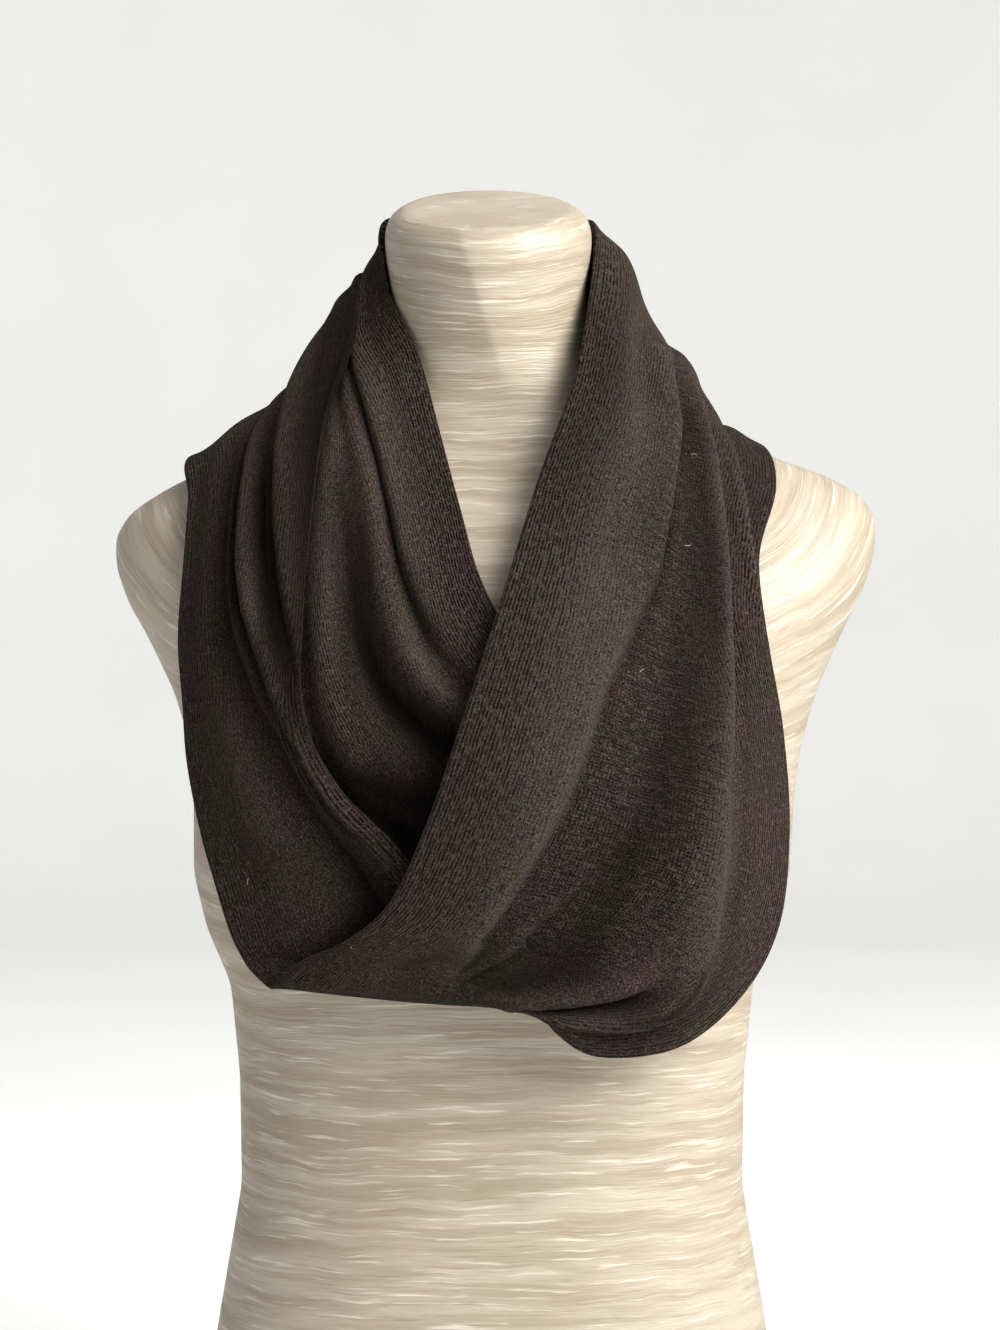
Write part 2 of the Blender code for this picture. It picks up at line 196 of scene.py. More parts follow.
def studio_sweep():
    """A floor disc that bends up into a wall all round, as one surface of revolution."""
    turn = np.linspace(0, np.pi / 2, SWEEP_BEND_POINTS)
    radii = [0.0, *(SWEEP_FLOOR + SWEEP_BEND * np.sin(turn)), SWEEP_FLOOR + SWEEP_BEND]
    heights = [0.0, *(SWEEP_BEND * (1 - np.cos(turn))), SWEEP_WALL]
    shape = bmesh.new()
    profile = [shape.verts.new((r, 0, z)) for r, z in zip(radii, heights)]
    edges = [shape.edges.new(pair) for pair in zip(profile, profile[1:])]
    circle = {"axis": (0, 0, 1), "cent": (0, 0, 0), "angle": 2 * np.pi, "steps": SWEEP_SPOKES}
    bmesh.ops.spin(shape, geom=profile + edges, use_merge=True, **circle)
    bmesh.ops.remove_doubles(shape, verts=shape.verts, dist=WELD_DISTANCE)
    bmesh.ops.recalc_face_normals(shape, faces=shape.faces)
    mesh = bpy.data.meshes.new("studio_sweep")
    shape.to_mesh(mesh)
    shape.free()
    mesh.shade_smooth()
    return mesh


sweep = bpy.data.objects.new("studio_sweep", studio_sweep())
bpy.context.scene.collection.objects.link(sweep)
sweep_finish, tree, shader = new_material("pale_studio_paper")
mottle = add_wire(tree, "TexCoord", output="Object").noise(3.0).ramp(0.3, 0.7)
seen = add_wire(tree, "LightPath", output="Is Camera Ray")
finish = {"Base Color": mottle.blend(*SWEEP_SHADES), "Emission Color": seen.blend((0, 0, 0), SWEEP_GLOW)}
plug(shader, {**finish, "Emission Strength": 1.0, "Roughness": 0.9})
sweep.data.materials.append(sweep_finish)
print("studio sweep:", len(sweep.data.polygons), "faces")

# %% [markdown]
# ## The light
# A big soft window to the right and a little in front lights the right side of the form and leaves the left
# in gentle shade. Weak lamps on the left and above, and the pale surroundings, fill the shadows.

# %% Light
Lamp = namedtuple("Lamp", "name place aim size watts colour")
LAMPS = [
    Lamp("window", (1.5, -1.15, 1.6), (0, 0, 0.45), 1.7, 108, (1.0, 0.99, 0.97)),
    Lamp("left_fill", (-2.2, -1.6, 1.0), (0, 0, 0.45), 1.8, 5, (0.95, 0.975, 1.0)),
    Lamp("top_fill", (0.2, 0.6, 2.9), (0, 0, 0.4), 1.8, 16, (1.0, 1.0, 1.0)),
]
ROOM_COLOUR = (0.93, 0.96, 1.0, 1)
ROOM_STRENGTH = 0.28
for lamp in LAMPS:
    data = bpy.data.lights.new(lamp.name, "AREA")
    data.size = lamp.size
    data.energy = lamp.watts
    data.color = lamp.colour
    made = bpy.data.objects.new(lamp.name, data)
    made.location = lamp.place
    made.rotation_euler = (Vector(lamp.aim) - Vector(lamp.place)).to_track_quat("-Z", "Y").to_euler()
    made.visible_camera = False
    bpy.context.scene.collection.objects.link(made)
world = bpy.data.worlds.new("pale_room")
world.use_nodes = True
plug(world.node_tree.nodes["Background"], {"Color": ROOM_COLOUR, "Strength": ROOM_STRENGTH})
bpy.context.scene.world = world
bpy.context.scene.view_settings.view_transform = "Standard"
print("lamps:", [lamp.name for lamp in LAMPS])

# %% [markdown]
# ## The dress form
# The real form is a hollow shell of paper pulp, pressed in a mould and wrapped in strips of fibrous paper.
# Its body is a loft: rings of a superellipse, which is an ellipse with squarer corners, stacked from the
# hips to the slanted neck cap. The rings are blended into many more, and the corners between them are
# softened.

# %% Rings of the dress form
Ring = namedtuple("Ring", "height half_width half_depth centre_x centre_y tilt roll squareness")
FORM_RINGS = [
    Ring(0, 150, 100, 0, 4, 0, 0, 2.3),
    Ring(4, 157, 106, 0, 4, 0, 0, 2.3),
    Ring(50, 160, 108, 0, 4, 0, 0, 2.3),
    Ring(120, 149, 101, 0, 3, 0, 0, 2.3),
    Ring(190, 137, 92, 0, 0, 0, 0, 2.3),
    Ring(250, 138, 91, 0, 0, 0, 0, 2.3),
    Ring(300, 143, 95, 0, 0, 0, 0, 2.3),
    Ring(330, 156, 101, 0, 0, 0, 0, 2.3),
    Ring(360, 163, 106, 0, -1, 0, 0, 2.3),
    Ring(400, 164, 110, 1, -1, 0, 0, 2.3),
    Ring(430, 167, 111, 2, 0, 0, 0, 2.3),
    Ring(460, 176, 110, 2, 0, 0, 0.3, 2.3),
    Ring(490, 190, 105, 2, 2, 0, 0.6, 2.4),
    Ring(510, 201, 97, 2, 4, 0, 0.9, 2.5),
    Ring(530, 208, 87, 2, 6, 0, 1.2, 2.6),
    Ring(549, 209, 76, 2, 8, 0, 1.4, 2.6),
    Ring(562, 201, 67, 2, 10, 0, 1.4, 2.5),
    Ring(573, 183, 60, 2, 11, 0, 1.2, 2.4),
    Ring(584, 158, 55, 1, 12, 0, 0.9, 2.3),
    Ring(596, 131, 54, 0, 13, 0, 0.5, 2.2),
    Ring(607, 104, 55, 0, 14, 1, 0, 2.1),
    Ring(617, 82, 57, -1, 15, 3, 0, 2.0),
    Ring(630, 66, 58, -1, 14, 6, 0, 2.0),
    Ring(650, 57, 58, -2, 10, 11, 0, 2.0),
    Ring(680, 54, 57, -2, 2, 18, 0, 2.0),
    Ring(706, 57, 57, -2, -5, 22, 0, 2.0),
    Ring(715, 56, 56, -2, -8, 22, 0, 2.0),
    Ring(720, 52, 53, -2, -10, 22, 0, 2.0),
    Ring(722, 46, 47, -2, -11, 22, 0, 2.0),
]
RING_STEP = 3.0
SOFTENING_ROUNDS = 4


def distances(points):
    """How far each point lies from the first one, going along the first axis of the array."""
    steps = np.linalg.norm(np.diff(points, axis=0), axis=-1)
    return np.concatenate([np.zeros_like(steps[:1]), np.cumsum(steps, axis=0)])


def soft_rings():
    """The table's rings as one array, blended into rings about RING_STEP apart with their corners rounded."""
    table = np.array(FORM_RINGS, float)
    trip = distances(table[:, :2])
    every = np.linspace(0, trip[-1], int(trip[-1] / RING_STEP))
    rings = np.stack([np.interp(every, trip, column) for column in table.T], axis=1)
    for _ in range(SOFTENING_ROUNDS):
        rings[1:-1] = (rings[:-2] + 2 * rings[1:-1] + rings[2:]) / 4
    return rings


rings = soft_rings()
print("rings of the form:", len(rings))

# %% [markdown]
# The pressed paper isn't perfectly even. The front of the neck has a soft slanting ridge with a flatter
# plane on each side, the shoulders roll a degree or so to one side, and there is a shallow dent at the
# waist.

# %% Shape of the dress form
COLUMNS_AROUND_FORM = 200
RIDGE_HEIGHT = 3.0
RIDGE_BOTTOM = 615
RIDGE_TOP = 712
RIDGE_PLACE = (2, 638)
RIDGE_LEAN = 0.30
RIDGE_SIDES = (13, 20)
RIDGE_FADES = (25, 16, 20)
DENT_DEPTH = 0.8
DENT_PLACE = (-12, 205)
DENT_RADIUS = 14
END_RINGS = (0.93, 0.8, 0.6, 0.35, 0.12)


def share_of(distance, length):
    """A distance as a share of a length, held between 0 and 1."""
    return np.clip(distance / length, 0, 1)


def form_points(rings):
    """A grid of points, one row for each ring, in millimetres."""
    angles = np.linspace(0, 2 * np.pi, COLUMNS_AROUND_FORM, endpoint=False)
    height, half_width, half_depth, centre_x, centre_y, tilt, roll, squareness = (c[:, None] for c in rings.T)
    power = 2 / squareness
    across = half_width * np.sign(np.cos(angles)) * np.abs(np.cos(angles)) ** power
    deep = half_depth * np.sign(np.sin(angles)) * np.abs(np.sin(angles)) ** power
    lean = np.radians(tilt)
    up = height + deep * np.sin(lean) + across * np.tan(np.radians(roll))
    return np.stack([centre_x + across, centre_y + deep * np.cos(lean), up], axis=2)


def pressed(rows):
    """The front of the neck with its ridge, a flat plane on each side of it, and the dent at the waist."""
    x, y, z = (rows[..., k] for k in range(3))
    out = rows - rows.mean(axis=1, keepdims=True)
    out[..., 2] = 0
    out /= np.maximum(np.linalg.norm(out, axis=2, keepdims=True), TINY)
    reaches = zip((z - RIDGE_BOTTOM, RIDGE_TOP - z, -y), RIDGE_FADES)
    on_neck = np.prod([share_of(distance, fade) for distance, fade in reaches], axis=0)
    from_ridge = x - (RIDGE_PLACE[0] - RIDGE_LEAN * (z - RIDGE_PLACE[1]))
    fall = np.sqrt(from_ridge**2 + 1) / np.where(from_ridge < 0, *RIDGE_SIDES)
    ridge = RIDGE_HEIGHT * np.exp(-fall) * on_neck
    from_dent = (x - DENT_PLACE[0]) ** 2 + (z - DENT_PLACE[1]) ** 2
    dent = DENT_DEPTH * np.exp(-from_dent / DENT_RADIUS**2) * (y < 0)
    return rows + out * (ridge - dent)[..., None]


def with_ends(rows):
    """The rows with smaller copies of the first and the last one, which fill in both ends."""
    shares = np.array(END_RINGS)[:, None, None]
    low, high = (row.mean(axis=0) for row in (rows[0], rows[-1]))
    return np.concatenate([low + (rows[0] - low) * shares[::-1], rows, high + (rows[-1] - high) * shares])


# %% Meshes from grids of points


def mesh_object(name, points, faces):
    """A smooth mesh object from points in millimetres, its faces turned outwards."""
    mesh = bpy.data.meshes.new(name)
    mesh.from_pydata((np.asarray(points) * MM).tolist(), [], faces)
    shape = bmesh.new()
    shape.from_mesh(mesh)
    bmesh.ops.recalc_face_normals(shape, faces=shape.faces)
    shape.to_mesh(mesh)
    shape.free()
    mesh.shade_smooth()
    made = bpy.data.objects.new(name, mesh)
    bpy.context.scene.collection.objects.link(made)
    return made


def closed_tube(name, rows):
    """A closed mesh object through rows of points, each row a ring, with one face over each end."""
    count, around = rows.shape[:2]
    last = (count - 1) * around
    faces = [
        (low + i, low + (i + 1) % around, low + around + (i + 1) % around, low + around + i)
        for low in range(0, last, around)
        for i in range(around)
    ]
    faces += [tuple(range(around)), tuple(range(last, last + around))]
    return mesh_object(name, rows.reshape(-1, 3), faces)


def keep_on_points(made, name, kind, values):
    """Keeps a value, or a vector, on every point of a mesh object, for its material to read."""
    layer = made.data.attributes.new(name, kind, "POINT")
    part = "vector" if kind == "FLOAT_VECTOR" else "value"
    layer.data.foreach_set(part, np.ascontiguousarray(values, dtype=np.float32).ravel())


form_rows = with_ends(pressed(form_points(rings)))
dress_form = closed_tube("paper_dress_form", form_rows)
print("dress form:", len(dress_form.data.vertices), "points")

# %% [markdown]
# ## Fibrous paper
# The strips of paper were laid round the body and the neck, and slantwise over the shoulders, and their
# long fibres leave fine pale and tan streaks that follow the strips. A value kept on every point says how
# far up the strips it lies, so noise that is stretched hard along that value turns into streaks.

# %% Where the paper strips lie
ARC_CENTRE_X = 110
ARC_CENTRE_Z = 585
NECK_STRIPS_FROM = 610
NECK_STRIPS_EASE = 50
NECK_STRIPS_SLANT = 0.32


def strip_place(rows):
    """For each point, x, y and the height that the strips follow, in arcs on the shoulders."""
    x, y, z = (rows[..., k] for k in range(3))
    beyond = np.clip(np.abs(x) - ARC_CENTRE_X, 0, None)
    below = np.clip(ARC_CENTRE_Z - z, 0, None)
    arcs = ARC_CENTRE_Z - np.hypot(beyond, below)
    slant = share_of(z - NECK_STRIPS_FROM, NECK_STRIPS_EASE) * NECK_STRIPS_SLANT * y
    return np.stack([x, y, np.where(z < ARC_CENTRE_Z, arcs, z - beyond) - slant], axis=-1)


keep_on_points(dress_form, "strip_place", "FLOAT_VECTOR", strip_place(form_rows) * MM)

# %% [markdown]
# The paper's node group turns the strip place into three kinds of streak: broad bands of tone, fine pale
# fibres and a few darker tan ones. It gives out a mask for each and a height for the bump, and the shader
# stays outside.

# %% Paper streak group


def paper_streaks():
    """Masks for the broad tone, the pale fibres and the tan fibres, and the height of the fibres."""
    outputs = ("Tone", "Pale Fibre", "Tan Fibre", "Height")
    group, given, out = shader_group("paper_streaks", [("Place", "Vector", None)], outputs)
    wander = given["Place"].noise(9.0, detail=3.0, roughness=0.55)
    bent = add_wire(group, "CombineXYZ", {2: wander * 0.016})
    place = add_wire(group, "VectorMath", {0: given["Place"], 1: bent}, operation="ADD")
    broad = place.noise(9.0, detail=4.0, roughness=0.6, stretch=(1, 1, 14))
    fine = place.noise(24.0, detail=3.0, roughness=0.6, stretch=(1, 1, 22))
    thin = place.noise(34.0, detail=2.0, roughness=0.6, stretch=(1, 1, 26))
    masks = (broad.ramp(0.34, 0.66), fine.ramp(0.55, 0.70), thin.ramp(0.57, 0.72))
    plug(out, dict(zip(outputs, (*masks, fine * 0.7 - thin * 0.5))))
    return group


# %% Paper material
TAN_PAPER = (0.330, 0.268, 0.190)
PALE_PAPER = (0.445, 0.383, 0.296)
PALE_FIBRE = (0.78, 0.72, 0.61)
TAN_FIBRE = (0.25, 0.19, 0.125)
RELIEF_DISTANCE = 0.0012
paper, tree, shader = new_material("fibrous_paper")
lay = add_wire(tree, "Attribute", output="Vector", attribute_name="strip_place")
tone, pale, tan, fibres = use_group(tree, paper_streaks(), {"Place": lay})
ground = (pale * 0.55).blend(tone.blend(TAN_PAPER, PALE_PAPER), PALE_FIBRE)
ground = (tan * 0.5).blend(ground, TAN_FIBRE)
relief = add_wire(tree, "Bump", {"Height": fibres, "Distance": RELIEF_DISTANCE, "Strength": 0.6})
plug(shader, {"Base Color": ground, "Normal": relief, "Roughness": tone.ramp(0, 1, 0.5, 0.38)})
dress_form.data.materials.append(paper)
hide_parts("dress_form")
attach(dress_form, "root")

# %% [markdown]
# ## The band of the scarf
# The scarf is a flat knitted tube, so it moves as a band with two rolled edges. BAND gives a section across
# it at each station on its way twice round the neck: its two edges and a point between them. The first edge
# is the neck edge down the right front and turns into the outer edge at the bottom fold. The last section
# leads back to the first the other way up, because the band has a half turn in it. middle_at is how far
# across the middle point is.

# %% Sections of the band
Section = namedtuple("Section", "name first middle last middle_at")
BAND = [
    Section("right_shoulder", (54, 6, 714), (106.5, 10, 634), (145, 9, 591), 0.58),
    Section("right_front_1", (52, -25, 670), (106, -36, 614), (147, -42, 561), 0.62),
    Section("right_front_2", (43, -52, 622), (111, -77, 557), (139, -76, 525), 0.62),
    Section("right_front_3", (23, -77, 564), (114, -109, 504), (142, -92, 484), 0.62),
    Section("right_front_4", (4.5, -116, 504), (114, -122, 455), (150, -86, 438), 0.62),
    Section("right_front_5", (-15, -138, 443), (109, -132, 405), (153.5, -84, 386), 0.62),
    Section("right_front_6", (-32, -141, 393), (96, -138, 365), (147.5, -91, 338), 0.62),
    Section("right_front_7", (-50, -139, 355), (82, -139, 330), (127.5, -104, 304), 0.62),
    Section("right_front_8", (-71, -134, 336.5), (67, -138, 313), (95, -119, 280), 0.62),
    Section("right_front_9", (-95, -126, 325), (24, -139, 305), (55, -128, 276), 0.62),
    Section("fold_front", (-106, -117, 316), (-30, -136, 310), (34, -129, 289), 0.35),
    Section("fold_bottom", (-114, -108, 310), (-36, -127, 304), (22, -123, 306), 0.35),
    Section("fold_back", (-123.5, -101, 316), (-46, -117, 309), (12, -117, 311), 0.35),
    Section("left_front_9", (-130, -95, 325), (-58, -115, 318), (2, -119, 321), 0.42),
    Section("left_front_8", (-136, -92, 338), (-67, -115, 340), (-20, -122, 350), 0.50),
    Section("left_front_7", (-142.5, -86, 357), (-84, -112, 370), (-50, -123, 384), 0.50),
    Section("left_front_6", (-151.5, -78, 386), (-102, -107, 400), (-78, -120, 411), 0.50),
    Section("left_front_5", (-159, -72, 422), (-116, -103, 434), (-96, -116, 447), 0.50),
    Section("left_front_4", (-161, -74, 454), (-123, -101, 470), (-97, -108, 495), 0.50),
    Section("left_front_3", (-163, -76, 486), (-128, -92, 517), (-94, -90, 548), 0.50),
    Section("left_front_2", (-161.5, -66, 528), (-126, -66, 565), (-89.5, -58, 613), 0.50),
    Section("left_front_1", (-162, -42, 561), (-121, -34, 600), (-78, -30, 654), 0.50),
    Section("left_shoulder", (-166.5, 6, 586), (-108, 8, 628), (-71, 6, 687), 0.50),
    Section("left_back_2", (-134, 74, 586), (-100, 78, 636), (-65, 59, 690), 0.50),
    Section("left_back_1", (-68, 100, 568), (-50, 98, 614), (-32, 88, 662), 0.50),
    Section("back_lower", (0, 92, 556), (0, 94, 598), (0, 87, 640), 0.50),
    Section("right_back_1", (64, 88, 568), (44, 84, 612), (26, 74, 658), 0.50),
    Section("right_back_2", (100, 62, 604), (76, 60, 638), (47, 46, 690), 0.50),
    Section("right_neck", (94, 2, 626), (76, 2, 660), (57, 2, 700), 0.50),
    Section("inner_front_9", (104, -84, 522), (78, -60, 580), (47, -38, 630), 0.50),
    Section("inner_front_8", (80, -111, 440), (62, -101, 508), (32, -78, 560), 0.50),
    Section("inner_front_7", (32, -115, 376), (26, -118, 440), (22, -106, 504), 0.50),
    Section("inner_front_6", (-21, -117, 364), (-12, -122, 430), (8, -110, 494), 0.50),
    Section("inner_front_5", (-62, -114, 388), (-46, -117, 450), (-6, -100, 519), 0.50),
    Section("inner_front_4", (-90, -104, 428), (-62, -106, 490), (-16, -78, 554), 0.50),
    Section("inner_front_3", (-104, -96, 480), (-70, -84, 545), (-27.5, -52, 596), 0.50),
    Section("inner_front_2", (-109, -72, 540), (-79, -60, 590), (-40, -38, 642), 0.50),
    Section("inner_front_1", (-101, -32, 590), (-81, -22, 632), (-55.5, -14, 678), 0.50),
    Section("left_neck", (-88, 3, 628), (-72, 3, 668), (-57.5, 2, 716), 0.50),
    Section("left_neck_back", (-84, 66, 634), (-66, 56, 678), (-47, 38, 723), 0.50),
    Section("left_nape", (-50, 82, 640), (-38, 74, 684), (-26, 58, 727), 0.50),
    Section("back_upper", (0, 88, 646), (0, 78, 687), (0, 64, 727), 0.50),
    Section("right_nape", (58, 99, 620), (42, 84, 676), (24, 60, 727), 0.50),
    Section("right_neck_back", (124, 80, 588), (84, 70, 655), (45, 42, 723), 0.50),
]
STATION = {section.name: number for number, section in enumerate(BAND)}
END = len(BAND)
FLIP = STATION["fold_bottom"]
print("stations round the loop:", END)

# %% [markdown]
# ## The folds
# Each fold runs along the band like a soft ridge or trough. Its row gives, at a few stations, its height,
# and in percent of the band's width how far across it lies and how wide it is towards either edge. The lean
# pushes its crest sideways, which rolls it over, and the foot is a groove at the bottom of its steeper
# side. SHADES uses the same kind of row for painted shade, dark colour laid into the deep places where
# shade falls among the folds; its heights are strengths.

# %% Table of folds and of shades
Fold = namedtuple("Fold", "name at across height near far lean foot", defaults=(0, 0))
FOLDS = [
    Fold(
        "band_crest",
        at=(0, 2, 4, 6, 7.5, 8.8, 10),
        across=(14, 16, 14, 13, 12, 13, 14),
        height=(9, 7, 6, 6, 6, 6, 5),
        near=(10, 13, 12, 12, 11, 11, 10),
        far=(15, 14, 13, 12, 10, 12, 14),
    ),
    Fold(
        "ridge_one",
        at=(0, 0.7, 1.5, 2, 2.6, 3, 3.6, 4.4, 5.7, 6.2, 6.9, 7.6, 8.2, 9, 9.6, 10.3),
        across=(40, 47, 49, 42, 38, 35.5, 30, 24.5, 23, 21.5, 19, 18, 22, 32, 34, 34),
        height=(1, 5, 7, 7, 6, 5, 5, 5, 4.5, 4.5, 4.5, 4.5, 4, 4, 3, 1),
        near=(*[9] * 7, 8, 7, 7, 6, 6, 7, 9, 9, 9),
        far=(3, 2.2, 2, 2, 1.8, 1.8, 1.8, 1.8, *[1.8] * 6, 2, 2.5),
        lean=(0, 2.5, 3, 3, 3, 3, 2.5, 2.5, 2.5, 2.5, 2.5, 2.5, 2, 2, 1, 0),
        foot=(0, 3, 3, 3, 3, 2.5, 2.5, 2.5, 2.5, 2.5, 2.5, 2, 2, 2, 1, 0),
    ),
    Fold(
        "panel_hollow",
        at=(1, 3, 4, 5, 6, 7, 8, 9),
        across=(56, 48, 42, 42, 46, 50, 54, 56),
        height=(-2, -4, -5, -5, -5, -4, -3, -2),
        near=(6, 8, 9, 10, 13, 16, 15, 12),
        far=(8, 14, 17, 18, 18, 18, 14, 10),
    ),
    Fold(
        "ridge_low",
        at=(5.6, 6.2, 7, 7.4, 8, 8.5, 9, 9.6, 10.2),
        across=(41, 35.5, 28, 27, 28, 31.5, 36, 38, 39),
        height=(0.5, 2, 3, 3, 3, 3, 3, 2, 1),
        near=3.5,
        far=1.6,
        lean=1.5,
        foot=(0, 1, 2, 2, 2, 2, 2, 1, 0),
    ),
    Fold(
        "ridge_two",
        at=(0, 1, 1.5, 2, 3, 4, 4.8, 5.5, 6, 7, 7.5, 8, 8.5, 9),
        across=(53, 64.5, 67.5, 67, 64, 63, 63, 67, 70, 76.5, 78.5, 80.5, 81.5, 79),
        height=(5, 6, 7, 7, 8, 9, 9, 8, 8, 7, 7, 7, 6, 4),
        near=(6, 6, 6, 7, 10, 13, 14, 12, 11, 9, 8, 7, 6, 6),
        far=(9, 3, 2.4, 2.6, 3, 3.4, 4, 4.5, 4.5, 4, 3.2, 3, 3, 3),
        lean=(0, 2, 2.5, 2, 1.5, 1, 0.5, 0.5, 0.5, 1, 1, 1, 1, 0),
        foot=(0, 3, 3, 3, 2, 1.5, 1, 0, 0, 0, 1, 2, 2, 1),
    ),
    Fold(
        "side_ridge",
        at=(1.8, 2.4, 3, 4, 5, 6),
        across=(65.5, 64.5, 63.5, 61.5, 61, 61),
        height=(1, 2, 2, 2, 1.5, 1),
        near=3,
        far=5,
        foot=(0, 1, 1, 1, 0, 0),
    ),
    Fold(
        "pleat_three",
        at=(0.6, 1, 1.5, 2, 2.4, 3),
        across=(79, 81, 84.5, 86.5, 89, 93),
        height=(1, 4, 6, 6, 5, 2),
        near=5,
        far=2,
        lean=(1, 2, 2.5, 2.5, 2, 0),
        foot=(0, 3, 3, 3, 2, 0),
    ),
    Fold(
        "lip",
        at=(7.7, 8.2, 8.7, 9.2, 9.6),
        across=(65.5, 65, 64.5, 64, 63),
        height=(1, 4, 5, 4, 2),
        near=9,
        far=1.8,
        lean=(0, 2, 3, 2.5, 1),
        foot=(0, 4, 5, 4, 1),
    ),
    Fold(
        "pocket",
        at=(7.7, 8.2, 8.7, 9.2),
        across=(72.5, 71.5, 71, 70),
        height=(-2, -6, -6, -3),
        near=4,
        far=5,
    ),
    Fold(
        "outer_crest",
        at=(16, 19, 21, 25, 28),
        across=(30, 24, 22, 28, 30),
        height=(3, 4, 4, 4, 3),
        near=(16, 13, 12, 12, 12),
        far=(16, 10, 9, 12, 12),
    ),
    Fold(
        "outer_valley",
        at=(13.5, 14.4, 15, 16, 17, 17.7, 18.5, 19.2, 20, 21),
        across=(66, 67, 67, 66.7, 60.8, 48.4, 38.5, 36, 33, 33),
        height=(-2, -3, -4, -4, -4, -4, -4, -3, -3, -2),
        near=14,
        far=4,
    ),
    Fold(
        "thin_ridge",
        at=(15, 15.5, 16.2, 17, 17.5, 18.4, 19, 20, 21, 21.8),
        across=(70, 70, 69, 67.4, 57, 46.4, 41.5, 37.5, 36, 37),
        height=(0.5, 1, 1, 1, 1.2, 1.5, 2, 2.5, 2.5, 1),
        near=3.5,
        far=(*[3] * 6, 2.5, 2, 2, 2),
        foot=(0, 0, 0, 0, 0.5, 1, 1.5, 2, 2, 0),
    ),
    Fold(
        "middle_roll",
        at=(15.2, 15.6, 16, 16.7, 17, 17.5, 18, 18.6, 19.2, 20, 20.6, 21, 21.5, 22, 25, 28),
        across=(84, 84, 84.4, 83.5, 79, 70, 63.4, 54, 50.5, 48.5, 47.5, 46.5, 46, 46, 60, 60),
        height=(1, 3, 4, 5, 5, 5, 5, 6, 6, 6, 5, 4, 3, 2, 4, 4),
        near=(*[4] * 6, 3.5, 3, 2.6, 2.4, *[2.2] * 3, 3, 6, 7),
        far=(*[9] * 13, 9, 8, 9),
        lean=(*[0] * 7, -0.5, -1, -1.5, -2, -1.5, -1, 0, 0, 0),
        foot=(*[0] * 7, 0.5, 1, 2, 3, 2, 2, 2, 2, 2),
    ),
    Fold(
        "neck_roll",
        at=(17, 17.6, 18.2, 18.7, 19.2, 20, 20.5, 21, 21.7, 22.5, 25, 28),
        across=(100, 96.8, 87.7, 81.8, 77.5, 73.5, 72.5, 72, 72, 76, 86, 86),
        height=(1, 3, 4, 5, 6, 6, 6, 7, 8, 8, 4, 3),
        near=(*[3] * 4, 2.6, 2.2, 2.2, 3, 6, 10, 6, 6),
        far=(*[12] * 8, 14, 13, 7, 8),
        lean=(0, 0, -0.5, -1, -1.5, -2.5, -3, -3, -2, -1, 0, 0),
        foot=(0, 0, 1, 1.5, 2, 3, 4, 3, 3, 2, 2, 2),
    ),
    Fold(
        "middle_streak",
        at=(18.6, 19, 19.6, 20),
        across=(70, 66, 62, 58),
        height=(-1, -4, -4, -1),
        near=5,
        far=4,
    ),
    Fold(
        "strip_roll",
        at=(29, 32, 33, 33.5, 34, 34.5, 35, 36, 36.5, 37, 37.6, 38, 41, 44),
        across=(80, 80, 79.5, 77.5, 75, 73, 71, 71, 70, 69, 67, 68, 80, 86),
        height=(3, 3, 3, 4, 5, 6, 6, 6, 6, 6, 5, 5, 5, 9),
        near=(5, 5, 4, 3, 2.2, *[2] * 5, 3, 5, 8, 15),
        far=(*[12] * 13, 10),
        lean=(0, 0, -0.5, -1.5, -2, -2.5, -2.5, -2.5, -2.5, -2, -1, 0, 0, 0),
        foot=(0, 1, 2, 2, 2, 2, 2, 2, 2, 2, 2, 1, 0, 0),
    ),
    Fold(
        "second_ridge",
        at=(29, 33, 34, 35, 36, 38, 41, 44),
        across=(64, 65, 62, 60, 59, 57, 62, 60),
        height=(4, 7, 6, 4, 3, 3, 4, 1),
        near=(6, 7, 8, 10, 11, 11, 9, 3),
        far=(4.5, 5, 5.5, 6, 6, 6, 5, 9),
    ),
    Fold(
        "hollow",
        at=(29, 32, 33, 34, 34.6, 35.2, 38, 41, 44),
        across=(50, 51, 51, 45, 42, 40, 46, 46, 51),
        height=(-4, -8, -10, -9, -6, -3, -2, -4, 0),
        near=(10, 9, 9, 9, 9, 9, 9, 9, 7),
        far=(7, 6, 6, 8, 9, 9, 9, 9, 7),
    ),
    Fold(
        "low_crest",
        at=(33.6, 34.5, 35.2, 36, 37, 38, 41, 44),
        across=(18, 24, 31, 42, 44, 38, 34, 47),
        height=(3, 5, 5, 5, 4, 4, 5, 5),
        near=(12, 12, 12, 12, 12, 10, 10, 9),
        far=(10, 10, 10, 10, 10, 10, 10, 6),
    ),
    Fold(
        "tucked_neck_edge",
        at=(15.5, 17, 18, 19, 20, 21, 21.7),
        across=100,
        height=(-2, -4, -5, -6, -7, -7, -5),
        near=(8, 8, 9, 11, 13, 13, 12),
        far=5,
    ),
    Fold("shoulder_top", (21.3, 22, 22.8), (89, 88, 87), (4, 6, 3), 6, 8),
    Fold("shoulder_dip", (0, 1), (79, 86), (-7, -2), 6, 5),
    Fold("hole", (31.8, 32.6, 33.2), (10, 10, 6), (-6, -8, -4), 10, 10),
    Fold("low_valley", (41.5, 44), (24, 21), (-2, -7), 5, 6),
]
